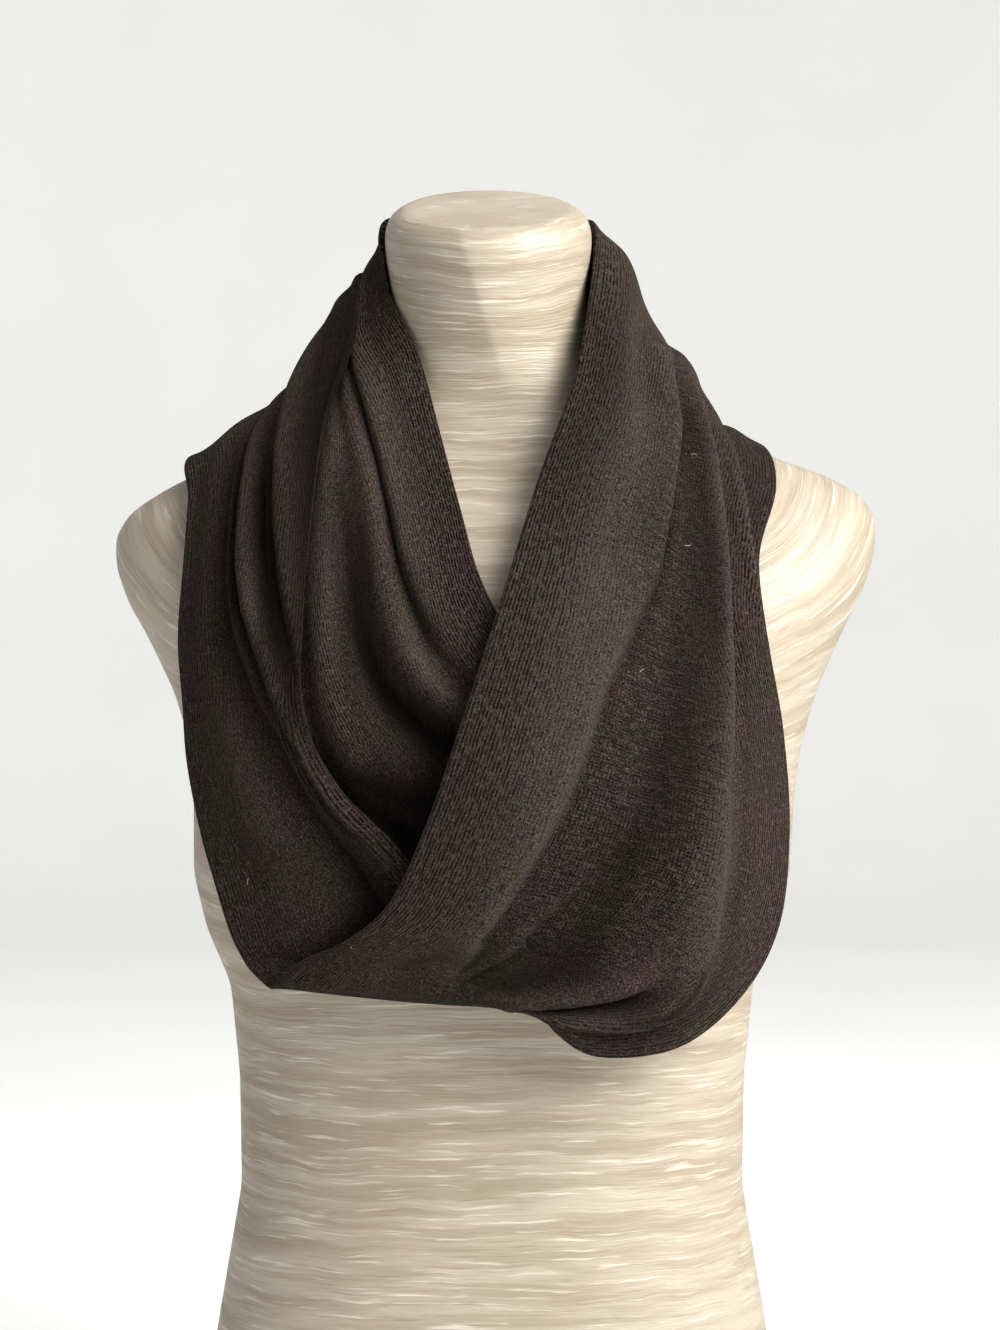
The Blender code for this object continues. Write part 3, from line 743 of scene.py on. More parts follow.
# Painted shade: each row darkens the knit's colour in a deep place where shade falls.
SHADES = [
    Fold(
        "outer_valley",
        at=(13.5, 14.4, 15, 16, 17, 17.7, 18.5, 19.2, 20, 21),
        across=(66, 68, 68, 68, 62, 50, 40, 37, 34, 33),
        height=(0.4, 0.6, 0.65, 0.65, 0.65, 0.65, 0.65, 0.6, 0.55, 0.4),
        near=21,
        far=7,
    ),
    Fold("under_right_front", (13, 13.5, 14, 14.5), (22, 37, 53, 68), (0.5, 0.65, 0.7, 0.6), 14, 14),
    Fold(
        "beside_middle_roll",
        at=(15.4, 16.3, 17, 17.6, 18.2, 19, 20, 20.8, 21.5),
        across=(77.5, 79.3, 74, 63, 54, 46, 44, 42.5, 43),
        height=(0.6, 0.6, 0.55, 0.7, 0.75, 0.8, 0.75, 0.6, 0.4),
        near=6,
        far=5,
    ),
    Fold(
        "beside_neck_roll",
        at=(17.5, 18.2, 19, 19.8, 20.6),
        across=(86, 75, 66.5, 61, 59),
        height=(0.4, 0.7, 0.8, 0.8, 0.5),
        near=11,
        far=10,
    ),
    Fold(
        "tucked_neck_edge",
        at=(16.5, 17.5, 18.5, 19.2, 20, 20.6, 21.2, 22),
        across=(100, 100, 100, 98, 94, 92, 93, 96),
        height=(0.4, 0.6, 0.8, 0.9, 0.9, 0.85, 0.8, 0.6),
        near=19,
        far=30,
    ),
    Fold(
        "inner_pit",
        at=(32, 32.7, 33.3, 34, 34.8),
        across=(54, 54, 50, 46, 44),
        height=(0.7, 0.75, 0.65, 0.5, 0.3),
        near=12,
        far=5,
    ),
    Fold("strip_pit", (32.6, 33.2, 33.8, 34.3), (76, 75.5, 74, 71), (0.3, 0.6, 0.5, 0.3), 4, 5),
    Fold(
        "hole",
        at=(30.9, 31.5, 32.4, 33, 33.6),
        across=(22, 23, 22, 16, 7),
        height=(0.4, 1, 1, 1, 0.8),
        near=30,
        far=(10, 14, 17, 14, 8),
    ),
    Fold(
        "panel_hollow",
        at=(1.5, 2.5, 3.5, 4.5, 5.5, 6.5, 7.5, 8.5),
        across=(60, 57, 55, 52, 48, 44, 43, 46),
        height=(0.35, 0.5, 0.5, 0.55, 0.55, 0.6, 0.65, 0.5),
        near=12,
        far=10,
    ),
    Fold("pocket", (7.8, 8.3, 8.8), (72, 73, 70), (0.4, 0.8, 0.6), 7, 7),
    Fold("slit", (6.6, 7.2, 7.9), (76.5, 78, 80), (0.3, 0.7, 0.7), 1.5, 2),
    Fold(
        "beside_ridge_two",
        at=(1, 3, 5, 6.5, 8, 8.6),
        across=(80, 76.5, 75.5, 83, 90, 90),
        height=(0.3, 0.35, 0.3, 0.35, 0.5, 0.4),
        near=3,
        far=5,
    ),
    Fold("left_front", (13.5, 15, 19, 21), (15, 15, 12, 12), (0.15, 0.25, 0.25, 0.2), 30, 22),
    Fold("between_rolls", (16.6, 17.2, 18.2, 19.2), (92, 86, 72, 70), (0.3, 0.5, 0.6, 0.5), 14, 13),
    Fold("far_flap", (0.4, 1, 1.8), (93, 93, 94), (0.35, 0.4, 0.3), 7, 10),
    Fold("behind_strip", (32.4, 33.4, 34.4, 35.4), (56, 55, 50, 45), (0.55, 0.45, 0.45, 0.45), 26, 10),
    Fold("bottom_roll", (10.3, 10.8, 11.3), 50, (0.2, 0.55, 0.55), 70, 70),
    Fold("upper_patch", (0.4, 1.2, 2, 2.8), (20, 19, 16, 13), (0.4, 0.5, 0.4, 0.2), 12, 9),
    Fold("lower_patch", (5.8, 6.6, 7.6, 8.6, 9.4), (15, 14, 14, 19, 27), (0.15, 0.2, 0.25, 0.35, 0.3), 4, 6),
    Fold("neck_strip", (32.6, 34, 37.5), (90, 88, 80), (0.1, 0.2, 0.25), 16, 20),
    Fold(
        "lower_edge",
        at=(8.4, 9.2, 10, 10.6),
        across=(18, 15, 17, 19),
        height=(0.28, 0.34, 0.34, 0.25),
        near=(8, 13, 15, 16),
        far=18,
    ),
    Fold("rolled_edge", (6, 7, 8.4, 9.6), (0, 0, 0, 0), (0.2, 0.35, 0.4, 0.35), 5, 2),
    Fold("below_lip", (8.4, 9, 9.8), (51, 50, 46), (0.3, 0.6, 0.45), 12, 12),
]

# %% Small soft creases
SOFT_CREASES = 44
chance = np.random.default_rng(7)
for number in range(SOFT_CREASES):
    start = chance.uniform(0, END - 4)
    length = chance.uniform(1.5, 4)
    place = chance.uniform(6, 94)
    drift = chance.uniform(-7, 7)
    height = chance.uniform(0.4, 1.1) * chance.choice([-1, 1])
    width = chance.uniform(2.5, 6)
    trip = (start, start + length)
    FOLDS.append(Fold(f"soft_{number}", trip, (place, place + drift), height, width, width))
print("folds:", len(FOLDS))

# %% [markdown]
# ## From sections to a surface
# Between sections the band follows a Catmull-Rom curve, which passes through every one of them, and across
# it a parabola through three points. The folds are then added along the surface's own outward direction.

# %% Surface of the band
STEP_ALONG = 0.02
STEP_ACROSS = 0.005


def section_row(section):
    """The section's first, halfway and last points, so that sections with any middle_at can be blended."""
    first, middle, last = (np.array(p, float) for p in (section.first, section.middle, section.last))
    m = section.middle_at
    bend = (middle - first - (last - first) * m) / (m * (m - 1))
    return np.array([first, (first + last) / 2 - bend / 4, last])


one_trip = [section_row(section) for section in BAND]
SECTION_ROWS = np.array([one_trip[-1][::-1], *one_trip, one_trip[0][::-1], one_trip[1][::-1]])


def looped(stations, across):
    """Stations brought into one trip along the band, and the share across, turned over where they left it."""
    trips = np.floor(stations / END)
    over = np.where(trips[:, None] % 2 == 0, across, 1 - across)
    return stations - trips * END, over


def band_points(stations, across):
    """The smooth band, before its folds: Catmull-Rom along it and a parabola across it."""
    stations, across = looped(stations, across)
    whole = np.floor(stations).astype(int)
    part = (stations - whole)[:, None, None]
    a, b, c, d = (SECTION_ROWS[whole + k] for k in range(4))
    square, cube = part**2, part**3
    here = b + 0.5 * ((c - a) * part + (2 * a - 5 * b + 4 * c - d) * square + (3 * b - a - 3 * c + d) * cube)
    first, halfway, last = (here[:, None, k, :] for k in range(3))
    t = across[..., None]
    return first * (1 - t) * (1 - 2 * t) + halfway * 4 * t * (1 - t) + last * t * (2 * t - 1)


def slopes(stations, across):
    """The directions along and across the smooth band."""
    along = band_points(stations + STEP_ALONG, across) - band_points(stations - STEP_ALONG, across)
    over = band_points(stations, across + STEP_ACROSS) - band_points(stations, across - STEP_ACROSS)
    return along, over


def unit(vectors):
    return vectors / np.linalg.norm(vectors, axis=2, keepdims=True)


def outward(stations, across):
    """Unit normals of the smooth band, on the side away from the form."""
    side = np.where(stations < FLIP, 1.0, -1.0)[:, None, None]
    return unit(np.cross(*slopes(stations, across)) * side)


# %% Folds on the band
PERCENT = 100
FLIP_REACH = 0.8
FOOT_DISTANCE = 1.7
FOOT_WIDTH = 1.3


def hold_at(stations):
    """Nothing is raised at the bottom fold itself, where outward turns over."""
    return share_of(np.abs(stations - FLIP), FLIP_REACH)[:, None]


def along_fold(fold, values, stations):
    """A fold's column at each station; a single number holds all along it."""
    if np.isscalar(values):
        return np.full(len(stations), float(values))[:, None]
    return np.interp(stations, fold.at, values)[:, None]


def fold_bump(fold, stations, across):
    """How near each point is to a fold's line, and to the line of its foot, from 0 to 1."""
    start, end = fold.at[0], fold.at[-1]
    before = (stations - start + 1) if start > 0 else np.ones_like(stations)
    after = (end + 1 - stations) if end < END else np.ones_like(stations)
    fade = np.clip(np.minimum(before, after), 0, 1)[:, None]
    fade = fade * fade * (3 - 2 * fade)
    columns = (fold.across, fold.near, fold.far)
    line, near, far = (along_fold(fold, column, stations) / PERCENT for column in columns)
    away = across - line
    steep = np.minimum(near, far)
    from_foot = away * np.where(near < far, -1, 1) - FOOT_DISTANCE * steep
    bump = fade * np.exp(-((away / np.where(away < 0, near, far)) ** 2))
    return bump, fade * np.exp(-((from_foot / (FOOT_WIDTH * steep)) ** 2))


def shade_at(stations, across):
    """How much painted shade darkens the cloth at each point, from 0 to 1."""
    stations, across = looped(stations, across)
    light = np.ones(across.shape)
    for shade in SHADES:
        dark = along_fold(shade, shade.height, stations) * fold_bump(shade, stations, across)[0]
        light = light * (1 - np.clip(dark, 0, 1))
    return 1 - light


def folded_points(stations, across):
    """The band with its folds."""
    sideways = unit(slopes(stations, across)[1])
    normal = outward(stations, across)
    points = band_points(stations, across)
    stations, turned = looped(stations, across)
    way = np.where(np.isclose(turned, across).all(axis=1), 1.0, -1.0)[:, None]
    hold = hold_at(stations)
    for fold in FOLDS:
        bump, trough = fold_bump(fold, stations, turned)
        columns = (fold.height, fold.lean, fold.foot)
        height, lean, foot = (along_fold(fold, column, stations) for column in columns)
        raised = (height * bump - foot * trough) * hold
        points = points + normal * raised[..., None] + sideways * (lean * bump * hold * way)[..., None]
    return points


# %% [markdown]
# ## Settling the layers
# Real cloth rests on what is below it. Each stretch of the band has a level: level 0 lies on the form,
# level 1 on both, and so on. From outside, a ray is cast in at every point, and where it meets a lower
# layer too early the point is lifted clear. Lifts are then spread to their neighbours, so the cloth bridges
# softly over what it covers.

# %% Stretches of the band
CLOTH_THICKNESS = 2.6
REST_GAP = 0.7
REACH = 45.0
LAYING_CELL = 5.0
LAYING_COLUMNS = 49
LAYING_ORDER = (0, 1, 2, 1, 2)
STRETCH_MARGIN = 0.02
SPREAD_ROUNDS = 34
LENGTH_STEPS = 60
Stretch = namedtuple("Stretch", "name start end level")
STRETCHES = [
    Stretch("scarf_front_right", 0, FLIP, 2),
    Stretch("scarf_front_left", FLIP, STATION["left_shoulder"], 1),
    Stretch("scarf_back_left_outer", STATION["left_shoulder"], STATION["back_lower"], 1),
    Stretch("scarf_back_right_inner", STATION["back_lower"], STATION["right_neck"], 0),
    Stretch("scarf_front_inner", STATION["right_neck"], STATION["left_neck"], 0),
    Stretch("scarf_back_left_inner", STATION["left_neck"], STATION["back_upper"], 0),
    Stretch("scarf_back_right_outer", STATION["back_upper"], END, 1),
]


def even_stations(start, end, cell):
    """Stations from start to end, about one cell apart along the middle of the band."""
    dense = np.linspace(start, end, LENGTH_STEPS * int(np.ceil(end - start)))
    trip = distances(band_points(dense, np.full((len(dense), 1), 0.5))[:, 0])
    return np.interp(np.linspace(0, trip[-1], int(trip[-1] / cell) + 1), trip, dense)


def wall_tree(points, normals):
    """A tree for casting rays at both faces of a wall of cloth about a grid of points."""
    rows, columns = points.shape[:2]
    half = normals * CLOTH_THICKNESS / 2
    both = np.concatenate([(points + half).reshape(-1, 3), (points - half).reshape(-1, 3)])
    corners = np.arange(rows * columns).reshape(rows, columns)
    corners = (corners[:-1, :-1], corners[1:, :-1], corners[1:, 1:], corners[:-1, 1:])
    faces = np.stack(corners, axis=-1).reshape(-1, 4)
    return BVHTree.FromPolygons(both.tolist(), np.concatenate([faces, faces + rows * columns]).tolist())


def needed_lift(points, normals, below):
    """How far each point has to go out to lie clear of the trees below."""
    clearance = CLOTH_THICKNESS / 2 + REST_GAP
    need = np.zeros(points.shape[:2])
    for i, j in np.ndindex(*need.shape):
        out = Vector(normals[i, j])
        start = Vector(points[i, j]) + out * REACH
        for tree in below:
            distance = tree.ray_cast(start, -out, REACH + clearance)[3]
            if distance is not None:
                need[i, j] = max(need[i, j], REACH - distance + clearance)
    return need


def spread(needs):
    """Lets the lift fall away smoothly round the places that need it, and match across the seams."""
    lifts = [need.copy() for need in needs]
    for _ in range(SPREAD_ROUNDS):
        for k, lift in enumerate(lifts):
            before = lifts[k - 1][-1] if k else lifts[-1][-1][::-1]
            after = lifts[k + 1][0] if k + 1 < len(lifts) else lifts[0][0][::-1]
            padded = np.pad(np.vstack([before, lift, after]), ((0, 0), (1, 1)), mode="edge")
            total = padded[:-2, 1:-1] + padded[2:, 1:-1] + padded[1:-1, :-2] + padded[1:-1, 2:]
            lifts[k] = np.maximum(needs[k], total / 4)
    for k, lift in enumerate(lifts):
        ends = lifts[k - 1][-1] if k else lifts[-1][-1][::-1]
        highest = np.maximum(ends, lift[0])
        lift[0] = highest
        ends[:] = highest
    return lifts


# %% Settle the band
form_tree = BVHTree.FromPolygons(
    [v.co / MM for v in dress_form.data.vertices], [tuple(p.vertices) for p in dress_form.data.polygons]
)


def settle_band():
    """The stations of the laying grid and the lift of every point on it, for one trip along the band."""
    across = np.linspace(0, 1, LAYING_COLUMNS)[None, :]
    grids = []
    for stretch in STRETCHES:
        stations = even_stations(stretch.start + STRETCH_MARGIN, stretch.end - STRETCH_MARGIN, LAYING_CELL)
        wide = np.repeat(across, len(stations), axis=0)
        grids.append((stations, folded_points(stations, wide), outward(stations, wide)))
    needs = [np.zeros(points.shape[:2]) for _, points, _ in grids]
    lifts = needs
    for level in LAYING_ORDER:
        below = [form_tree]
        for stretch, (stations, points, normals), lift in zip(STRETCHES, grids, lifts):
            if stretch.level < level:
                raised = points + normals * (lift * hold_at(stations))[..., None]
                below.append(wall_tree(raised, normals))
        for k, stretch in enumerate(STRETCHES):
            if stretch.level == level:
                needs[k] = np.maximum(needs[k], needed_lift(grids[k][1], grids[k][2], below))
        lifts = spread(needs)
    return np.concatenate([stations for stations, _, _ in grids]), np.concatenate(lifts)


laid_stations, laid_lifts = settle_band()
print(f"laying grid: {laid_lifts.shape}, highest lift {laid_lifts.max():.1f} mm")

# %% [markdown]
# ## The cloth itself
# The lifts are blended onto a finer grid, and the surface gets the thickness of two plies of knit. At both
# edges the plies are one rolled piece, so the wall swells a little there and closes in a round nose. The
# side that faces the form needs fewer columns than the one that shows.

# %% The wall of cloth
CLOTH_CELL = 2.8
ACROSS_CELL = 1.3
HIDDEN_STRIDE = 3
ROLL_THICKNESS = 4.6
ROLL_WIDTH = 6.0
NOSE_STEPS = (0.0, 0.25, 0.8, 1.6, 2.3)
CREST_HEIGHT = 6.0


def lift_at(stations, across):
    """The settled lift, blended between the points of the laying grid."""
    stations, across = looped(stations, across)
    row = np.clip(np.searchsorted(laid_stations, stations) - 1, 0, len(laid_stations) - 2)
    part = share_of(stations - laid_stations[row], laid_stations[row + 1] - laid_stations[row])[:, None]
    place = across * (LAYING_COLUMNS - 1)
    column = np.clip(np.floor(place).astype(int), 0, LAYING_COLUMNS - 2)
    side = place - column
    row = row[:, None]
    low, high = (
        laid_lifts[r, column] * (1 - side) + laid_lifts[r, column + 1] * side
        for r in (row, row + 1)
    )
    return (low * (1 - part) + high * part) * hold_at(stations)


def laid_points(stations, across):
    """The finished middle surface of the band."""
    return folded_points(stations, across) + outward(stations, across) * lift_at(stations, across)[..., None]


def share_columns(width):
    """Shares across the band: close together at the two noses, then one cell apart."""
    nose = np.array(NOSE_STEPS) / width
    inner = np.linspace(nose[-1], 1 - nose[-1], int(width * (1 - 2 * nose[-1]) / ACROSS_CELL) + 1)
    return np.concatenate([nose[:-1], inner, 1 - nose[:-1][::-1]])


def half_thickness(distance):
    """Half the wall's thickness at a distance in from a rolled edge."""
    swell = CLOTH_THICKNESS + (ROLL_THICKNESS - CLOTH_THICKNESS) * np.exp(-((distance / ROLL_WIDTH) ** 2))
    nose = share_of(distance, ROLL_THICKNESS / 2)
    return swell / 2 * np.sqrt(1 - (1 - nose) ** 2)


def wall_rings(points, from_edge, shown_side):
    """A ring of points round the wall at each station, and the grid column that each one comes from."""
    normal = unit(np.cross(np.gradient(points, axis=0), np.gradient(points, axis=1))) * shown_side
    offset = normal * half_thickness(from_edge)[..., None]
    columns = points.shape[1]
    nose = len(NOSE_STEPS)
    middle = range(nose + 1, columns - nose, HIDDEN_STRIDE)
    hidden = [*range(1, nose), *middle, *range(columns - nose, columns - 1)][::-1]
    return np.concatenate([points + offset, (points - offset)[:, hidden]], axis=1), [*range(columns), *hidden]


# %% [markdown]
# The loop is cut where a cut never shows: behind the front, and under the outer turn at the sides of the
# neck. A piece's shown_side is 1 where the face on the side of the band's normal shows, and -1 elsewhere.

# %% The three pieces
Piece = namedtuple("Piece", "name start end shown_side width nodes rests_on")
PIECES = [
    Piece(
        "scarf_right_front_and_nape",
        start=STATION["left_neck_back"] - END,
        end=STATION["left_front_9"],
        shown_side=1,
        width=190,
        nodes=("scarf_front_right", "scarf_back_left_inner", "scarf_back_right_outer"),
        rests_on=("scarf_left_front_and_back", "scarf_inner_turn", "paper_dress_form"),
    ),
    Piece(
        "scarf_left_front_and_back",
        start=STATION["left_front_9"],
        end=STATION["right_neck"],
        shown_side=-1,
        width=150,
        nodes=("scarf_front_left", "scarf_back_left_outer", "scarf_back_right_inner"),
        rests_on=("scarf_inner_turn", "paper_dress_form"),
    ),
    Piece(
        "scarf_inner_turn",
        start=STATION["right_neck"],
        end=STATION["left_neck_back"],
        shown_side=-1,
        width=150,
        nodes=("scarf_front_inner",),
        rests_on=("paper_dress_form",),
    ),
]


def cloth_piece(piece):
    """A closed piece of the band, its length and its mean width in millimetres."""
    stations = even_stations(piece.start, piece.end, CLOTH_CELL)
    across = np.repeat(share_columns(piece.width)[None, :], len(stations), axis=0)
    points = laid_points(stations, across)
    from_first = distances(points.swapaxes(0, 1)).T
    from_edge = np.minimum(from_first, from_first[:, -1:] - from_first)
    rings, column = wall_rings(points, from_edge, piece.shown_side)
    made = closed_tube(piece.name, rings)
    trip = distances(points[:, points.shape[1] // 2])
    raised = (folded_points(stations, across) - band_points(stations, across)) * outward(stations, across)
    wales = from_edge[:, column]
    courses = np.repeat(trip[:, None], len(column), axis=1)
    place = np.stack([wales, courses, np.zeros_like(wales)], axis=-1) * MM
    keep_on_points(made, "knit_place", "FLOAT_VECTOR", place)
    # crest is the fold height, which the knit turns into a painted highlight on crests and painted shade in
    # troughs; shade is the painted shade from SHADES.
    keep_on_points(made, "crest", "FLOAT", raised.sum(axis=2)[:, column] / CREST_HEIGHT)
    keep_on_points(made, "shade", "FLOAT", shade_at(stations, across)[:, column])
    return made, trip[-1], from_first[:, -1].mean()


made_pieces = {}
for piece in PIECES:
    made, length, width = cloth_piece(piece)
    made_pieces[piece.name] = (made, length, width)
    print(f"{piece.name}: {len(made.data.polygons)} faces, {length:.0f} mm long, {width:.0f} mm wide")

# %% [markdown]
# ## Fine knit
# Plain knit is made of columns of small V shapes, called wales. They run along the band and stand up as
# ribs beside each rolled edge, where the cloth is stretched, and sink into a brushed nap elsewhere, where
# broken courses show instead. A node group draws them from the distance to the nearest edge and the
# distance along the band. The grain of the nap comes from the place in space, so that it stays even where
# the band is bunched up.

# %% Knit group
WALE = 2.0 * MM
COURSE = 1.6 * MM
RIBS_FADE = (0.060, 0.018)
ROWS_FADE = (0.05, 0.09)
FAINTEST_RIBS = 0.30
GRAIN_SCALE = 1050.0
PATCH_STRETCH = (1, 0.35, 1)
WORN_STRETCH = (420, 240, 1)
DASH_STRETCH = (230, 800, 1)
BROKEN_STRETCH = (130, 480, 1)


def tooth(steps):
    """A zigzag that is 0 halfway through each whole step and 1 at its ends."""
    return (steps.maths("FRACT") - 0.5).maths("ABSOLUTE") * 2.0


def knit_stitches():
    """The stitches' height, the grain of the nap, and a mask for the dark grooves."""
    outputs = ("Height", "Nap", "Groove")
    inputs = [
        ("Place", "Vector", None),
        ("Wale", "Float", WALE),
        ("Course", "Float", COURSE),
        ("Shade", "Float", 0.0),
    ]
    group, given, out = shader_group("knit_stitches", inputs, outputs)
    place = given["Place"]
    split = add_node(group, "SeparateXYZ", {0: place})
    from_edge, along = (Wire(group, split.outputs[k]) for k in range(2))
    wander = place.noise(55.0) - 0.5
    inside = tooth(from_edge / given["Wale"] + wander)
    courses = along / given["Course"] + inside * 0.55 + wander * 2.5
    stitch = (courses * (2 * np.pi)).maths("COSINE")
    near_edge = from_edge.ramp(*RIBS_FADE)
    patches = place.noise(11.0, detail=1.0, stretch=PATCH_STRETCH).ramp(0.42, 0.62)
    ribs = near_edge.maths("MAXIMUM", patches * 0.75).maths("MAXIMUM", FAINTEST_RIBS)
    ribs = ribs * given["Shade"].ramp(0.0, 0.8, 1.0, 0.5)
    worn = place.noise(1.0, detail=1.0, stretch=WORN_STRETCH).ramp(0.38, 0.58, 0.25, 1.1)
    groove = inside**1.6 * (stitch * 0.22 + 0.78) * (ribs * worn)
    loose = place.noise(14.0, detail=1.0).ramp(0.46, 0.60)
    dash = place.noise(1.0, detail=1.0, stretch=DASH_STRETCH).ramp(0.52, 0.66)
    dash = dash * (loose * 0.8) * (near_edge * -0.9 + 1.0)
    broken = place.noise(1.0, detail=1.0, stretch=BROKEN_STRETCH).ramp(0.38, 0.56)
    rows = tooth(courses) ** 1.5 * broken * from_edge.ramp(*ROWS_FADE)
    grain = add_wire(group, "TexCoord", output="Object").noise(GRAIN_SCALE, roughness=0.65)
    height = grain * 0.6 - groove * 1.5 - dash * 0.5 - rows * 1.1 + stitch * 0.10
    dark = (groove * 1.3 + dash * 0.5).maths("ADD", rows * 0.85, clamp=True)
    plug(out, dict(zip(outputs, (height, grain, dark))))
    return group


# %% Knit material
PURPLE_BROWN = (0.0365, 0.0215, 0.0232)
OLIVE_BROWN = (0.0300, 0.0252, 0.0170)
# Painted highlight colour for the raised crests of the folds.
CREST_HIGHLIGHT = (0.052, 0.0412, 0.0325)
PALE_NAP = (0.105, 0.081, 0.066)
DARK_NAP = (0.005, 0.003, 0.003)
GROOVE_BLACK = (0.003, 0.002, 0.002)
# Painted shade colour for the troughs of the folds.
VALLEY_SHADE = (0.002, 0.0015, 0.0015)
SHADE_BLACK = (0.0015, 0.0012, 0.001)
knit, tree, shader = new_material("dark_brown_knit")
place = add_wire(tree, "Attribute", output="Vector", attribute_name="knit_place")
crest = add_wire(tree, "Attribute", output="Fac", attribute_name="crest")
shade = add_wire(tree, "Attribute", output="Fac", attribute_name="shade")
height, nap, groove = use_group(tree, knit_stitches(), {"Place": place, "Shade": shade})
cloud = add_wire(tree, "TexCoord", output="Object").noise(26.0, detail=3.0).ramp(0.40, 0.60)
tone = cloud.blend(PURPLE_BROWN, OLIVE_BROWN)
# Painted highlight: raised fold crests are made paler, as where light catches them.
tone = crest.ramp(0.0, 1.0, 0.0, 0.8).blend(tone, CREST_HIGHLIGHT)
tone = nap.ramp(0.48, 0.70, 0.0, 0.70).blend(tone, PALE_NAP)
tone = nap.ramp(0.50, 0.32, 0.0, 0.85).blend(tone, DARK_NAP)
tone = groove.blend(tone, GROOVE_BLACK)
# Painted shade: the cloth is darkened in the troughs of the folds.
tone = crest.ramp(-0.6, -1.7, 0.0, 0.85).blend(tone, VALLEY_SHADE)
tone = shade.ramp(0.0, 1.0, 0.0, 0.93).blend(tone, SHADE_BLACK)
relief = add_wire(tree, "Bump", {"Height": height, "Distance": RELIEF_DISTANCE, "Strength": 1.0})
sheen = {"Sheen Weight": 0.06, "Sheen Roughness": 0.5, "Sheen Tint": (0.62, 0.48, 0.40, 1)}
plug(shader, {"Base Color": tone, "Normal": relief, "Roughness": 1.0, "Specular IOR Level": 0.04, **sheen})
for piece in PIECES:
    made, length, width = made_pieces[piece.name]
    made.data.materials.append(knit)
    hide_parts(*piece.nodes)
    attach(made, "root")
for piece in PIECES:
    made, length, width = made_pieces[piece.name]
    flat = (round(width * MM, 3), round(length * MM, 3))

# %% [markdown]
# ## Lint
# A few pale hairs cling to the knit. A small node tree bends one hair 4 mm long and sets it on every place
# in a short list, turned and shrunk at random from a fixed seed.

# %% Lint hairs
Fleck = namedtuple("Fleck", "station across")
FLECKS = [
    Fleck(1.6, 60),
    Fleck(2.6, 49),
    Fleck(4.0, 37),
    Fleck(8.2, 2),
    Fleck(15.1, 14),
    Fleck(33.6, 67),
    Fleck(24.5, 40),
    Fleck(26.5, 66),
    Fleck(39.0, 35),
    Fleck(41.5, 62),
]
HAIR_LENGTH = 4.0 * MM
HAIR_RADIUS = 0.11 * MM
HAIR_BEND = 0.55
HAIR_BEND_POINTS = 8
HAIR_SIDES = 5
HAIR_SMALLEST = 0.5
HAIR_SEED = 5
HAIR_LIFT = 0.4
LINT_GREY = (0.50, 0.49, 0.46, 1)


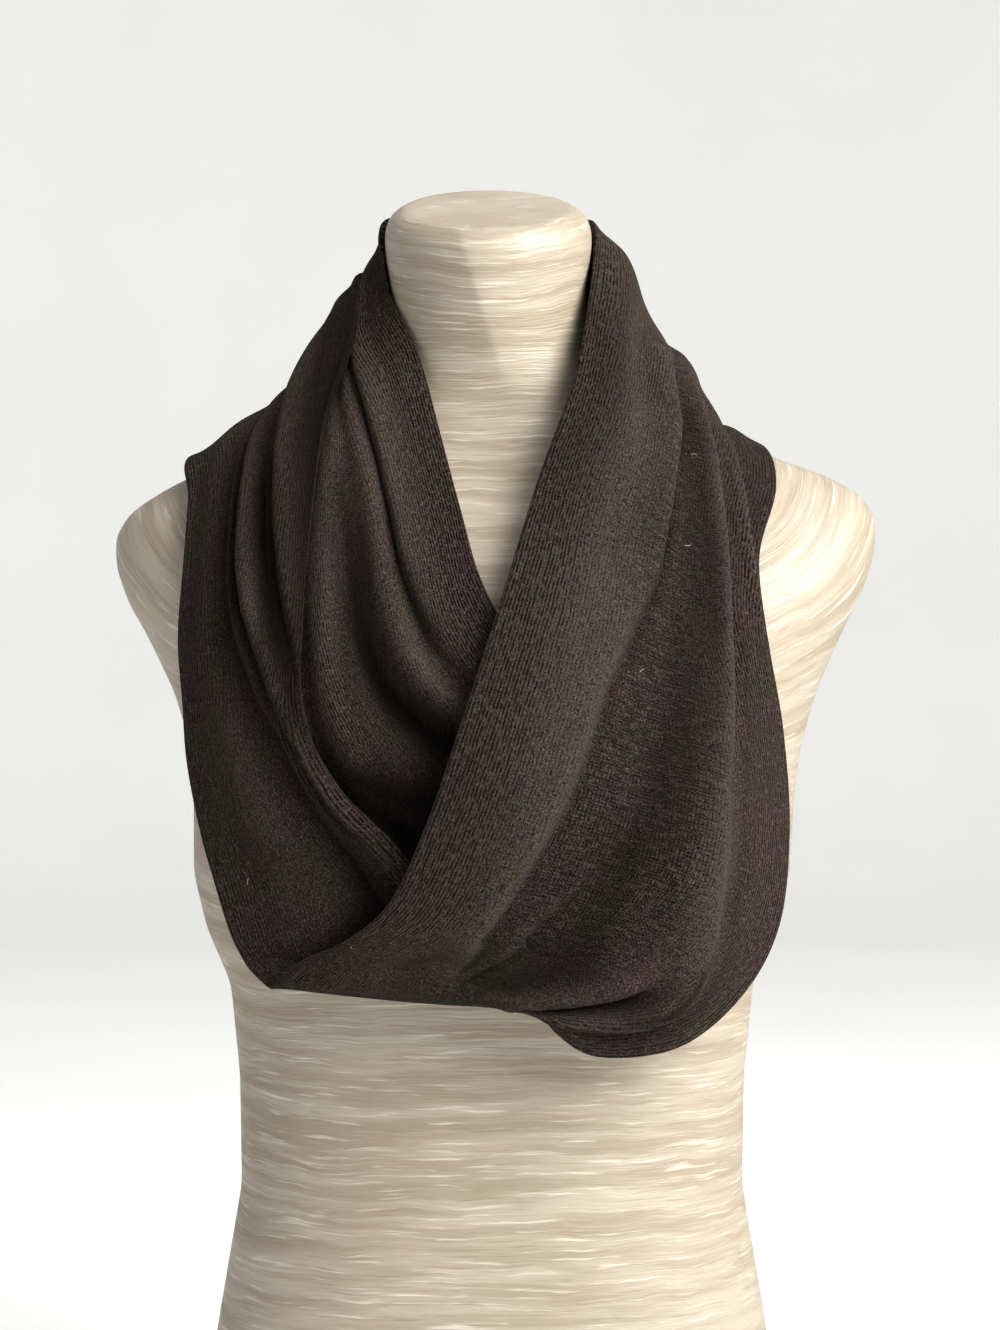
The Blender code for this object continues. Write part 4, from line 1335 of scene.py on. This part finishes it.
def lint_tree():
    """Geometry Nodes: one bent hair on every vertex of the mesh given."""
    tree = bpy.data.node_groups.new("lint_hairs", "GeometryNodeTree")
    tree.interface.new_socket("Geometry", in_out="INPUT", socket_type="NodeSocketGeometry")
    for name, value in (("Hair Length", HAIR_LENGTH), ("Hair Radius", HAIR_RADIUS)):
        tree.interface.new_socket(name, in_out="INPUT", socket_type="NodeSocketFloat").default_value = value
    tree.interface.new_socket("Seed", in_out="INPUT", socket_type="NodeSocketInt").default_value = HAIR_SEED
    tree.interface.new_socket("Material", in_out="INPUT", socket_type="NodeSocketMaterial")
    tree.interface.new_socket("Geometry", in_out="OUTPUT", socket_type="NodeSocketGeometry")
    kinds = {
        "given": "NodeGroupInput",
        "bend": "GeometryNodeCurveQuadraticBezier",
        "middle": "ShaderNodeCombineXYZ",
        "end": "ShaderNodeCombineXYZ",
        "rise": "ShaderNodeMath",
        "ring": "GeometryNodeCurvePrimitiveCircle",
        "hair": "GeometryNodeCurveToMesh",
        "way": "GeometryNodeInputNamedAttribute",
        "upright": "FunctionNodeAlignRotationToVector",
        "spin": "FunctionNodeRandomValue",
        "turned": "FunctionNodeRotateRotation",
        "about": "FunctionNodeAxisAngleToRotation",
        "grow": "FunctionNodeRandomValue",
        "place": "GeometryNodeInstanceOnPoints",
        "real": "GeometryNodeRealizeInstances",
        "finish": "GeometryNodeSetMaterial",
        "out": "NodeGroupOutput",
    }
    node = {name: tree.nodes.new(kind) for name, kind in kinds.items()}
    node["bend"].inputs["Resolution"].default_value = HAIR_BEND_POINTS
    node["ring"].inputs["Resolution"].default_value = HAIR_SIDES
    node["hair"].inputs["Fill Caps"].default_value = True
    node["rise"].operation = "MULTIPLY"
    node["rise"].inputs[1].default_value = HAIR_BEND
    node["upright"].axis = "Z"
    node["turned"].rotation_space = "LOCAL"
    node["way"].data_type = "FLOAT_VECTOR"
    node["way"].inputs["Name"].default_value = "way"
    node["spin"].inputs["Max"].default_value = 2 * np.pi
    node["grow"].inputs["Min"].default_value = HAIR_SMALLEST
    node["bend"].inputs["Start"].default_value = (0, 0, 0)
    wires = [
        ("given", "Hair Length", "rise", 0),
        ("rise", 0, "middle", "X"),
        ("given", "Hair Length", "end", "X"),
        ("rise", 0, "end", "Y"),
        ("middle", 0, "bend", "Middle"),
        ("end", 0, "bend", "End"),
        ("given", "Hair Radius", "ring", "Radius"),
        ("bend", 0, "hair", "Curve"),
        ("ring", 0, "hair", "Profile Curve"),
        ("way", 0, "upright", "Vector"),
        ("given", "Seed", "spin", "Seed"),
        ("spin", "Value", "about", "Angle"),
        ("upright", 0, "turned", "Rotation"),
        ("about", 0, "turned", "Rotate By"),
        ("given", "Seed", "grow", "Seed"),
        ("given", "Geometry", "place", "Points"),
        ("hair", 0, "place", "Instance"),
        ("turned", 0, "place", "Rotation"),
        ("grow", "Value", "place", "Scale"),
        ("place", 0, "real", 0),
        ("real", 0, "finish", "Geometry"),
        ("given", "Material", "finish", "Material"),
        ("finish", 0, "out", 0),
    ]
    for start, socket, end, target in wires:
        outputs = [o for o in node[start].outputs if o.enabled]
        source = outputs[socket] if isinstance(socket, int) else next(o for o in outputs if o.name == socket)
        tree.links.new(source, node[end].inputs[target])
    return tree


lint, tree, shader = new_material("pale_lint")
plug(shader, {"Base Color": LINT_GREY, "Roughness": 0.9})
stations = np.array([fleck.station for fleck in FLECKS])
across = np.array([[fleck.across] for fleck in FLECKS]) / PERCENT
ways = outward(stations, across)
spots = laid_points(stations, across) + ways * (CLOTH_THICKNESS / 2 + HAIR_LIFT)
hairs = mesh_object("knit_lint_hairs", spots.reshape(-1, 3), [])
keep_on_points(hairs, "way", "FLOAT_VECTOR", ways)
grown = hairs.modifiers.new("lint", "NODES")
grown.node_group = lint_tree()
for socket in grown.node_group.interface.items_tree:
    if socket.name == "Material":
        grown[socket.identifier] = lint
bpy.context.view_layer.update()
plain = bpy.data.meshes.new_from_object(hairs.evaluated_get(bpy.context.evaluated_depsgraph_get()))
hairs.modifiers.remove(grown)
hairs.data = plain
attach(hairs, "root")
print("lint hairs:", len(FLECKS), "faces:", len(plain.polygons))

# %% [markdown]
# ## Finish
# The view layer is brought up to date at the end. The dressed object has to stay in the room that the
# imported solids take.

# %% Finish
bpy.context.view_layer.update()
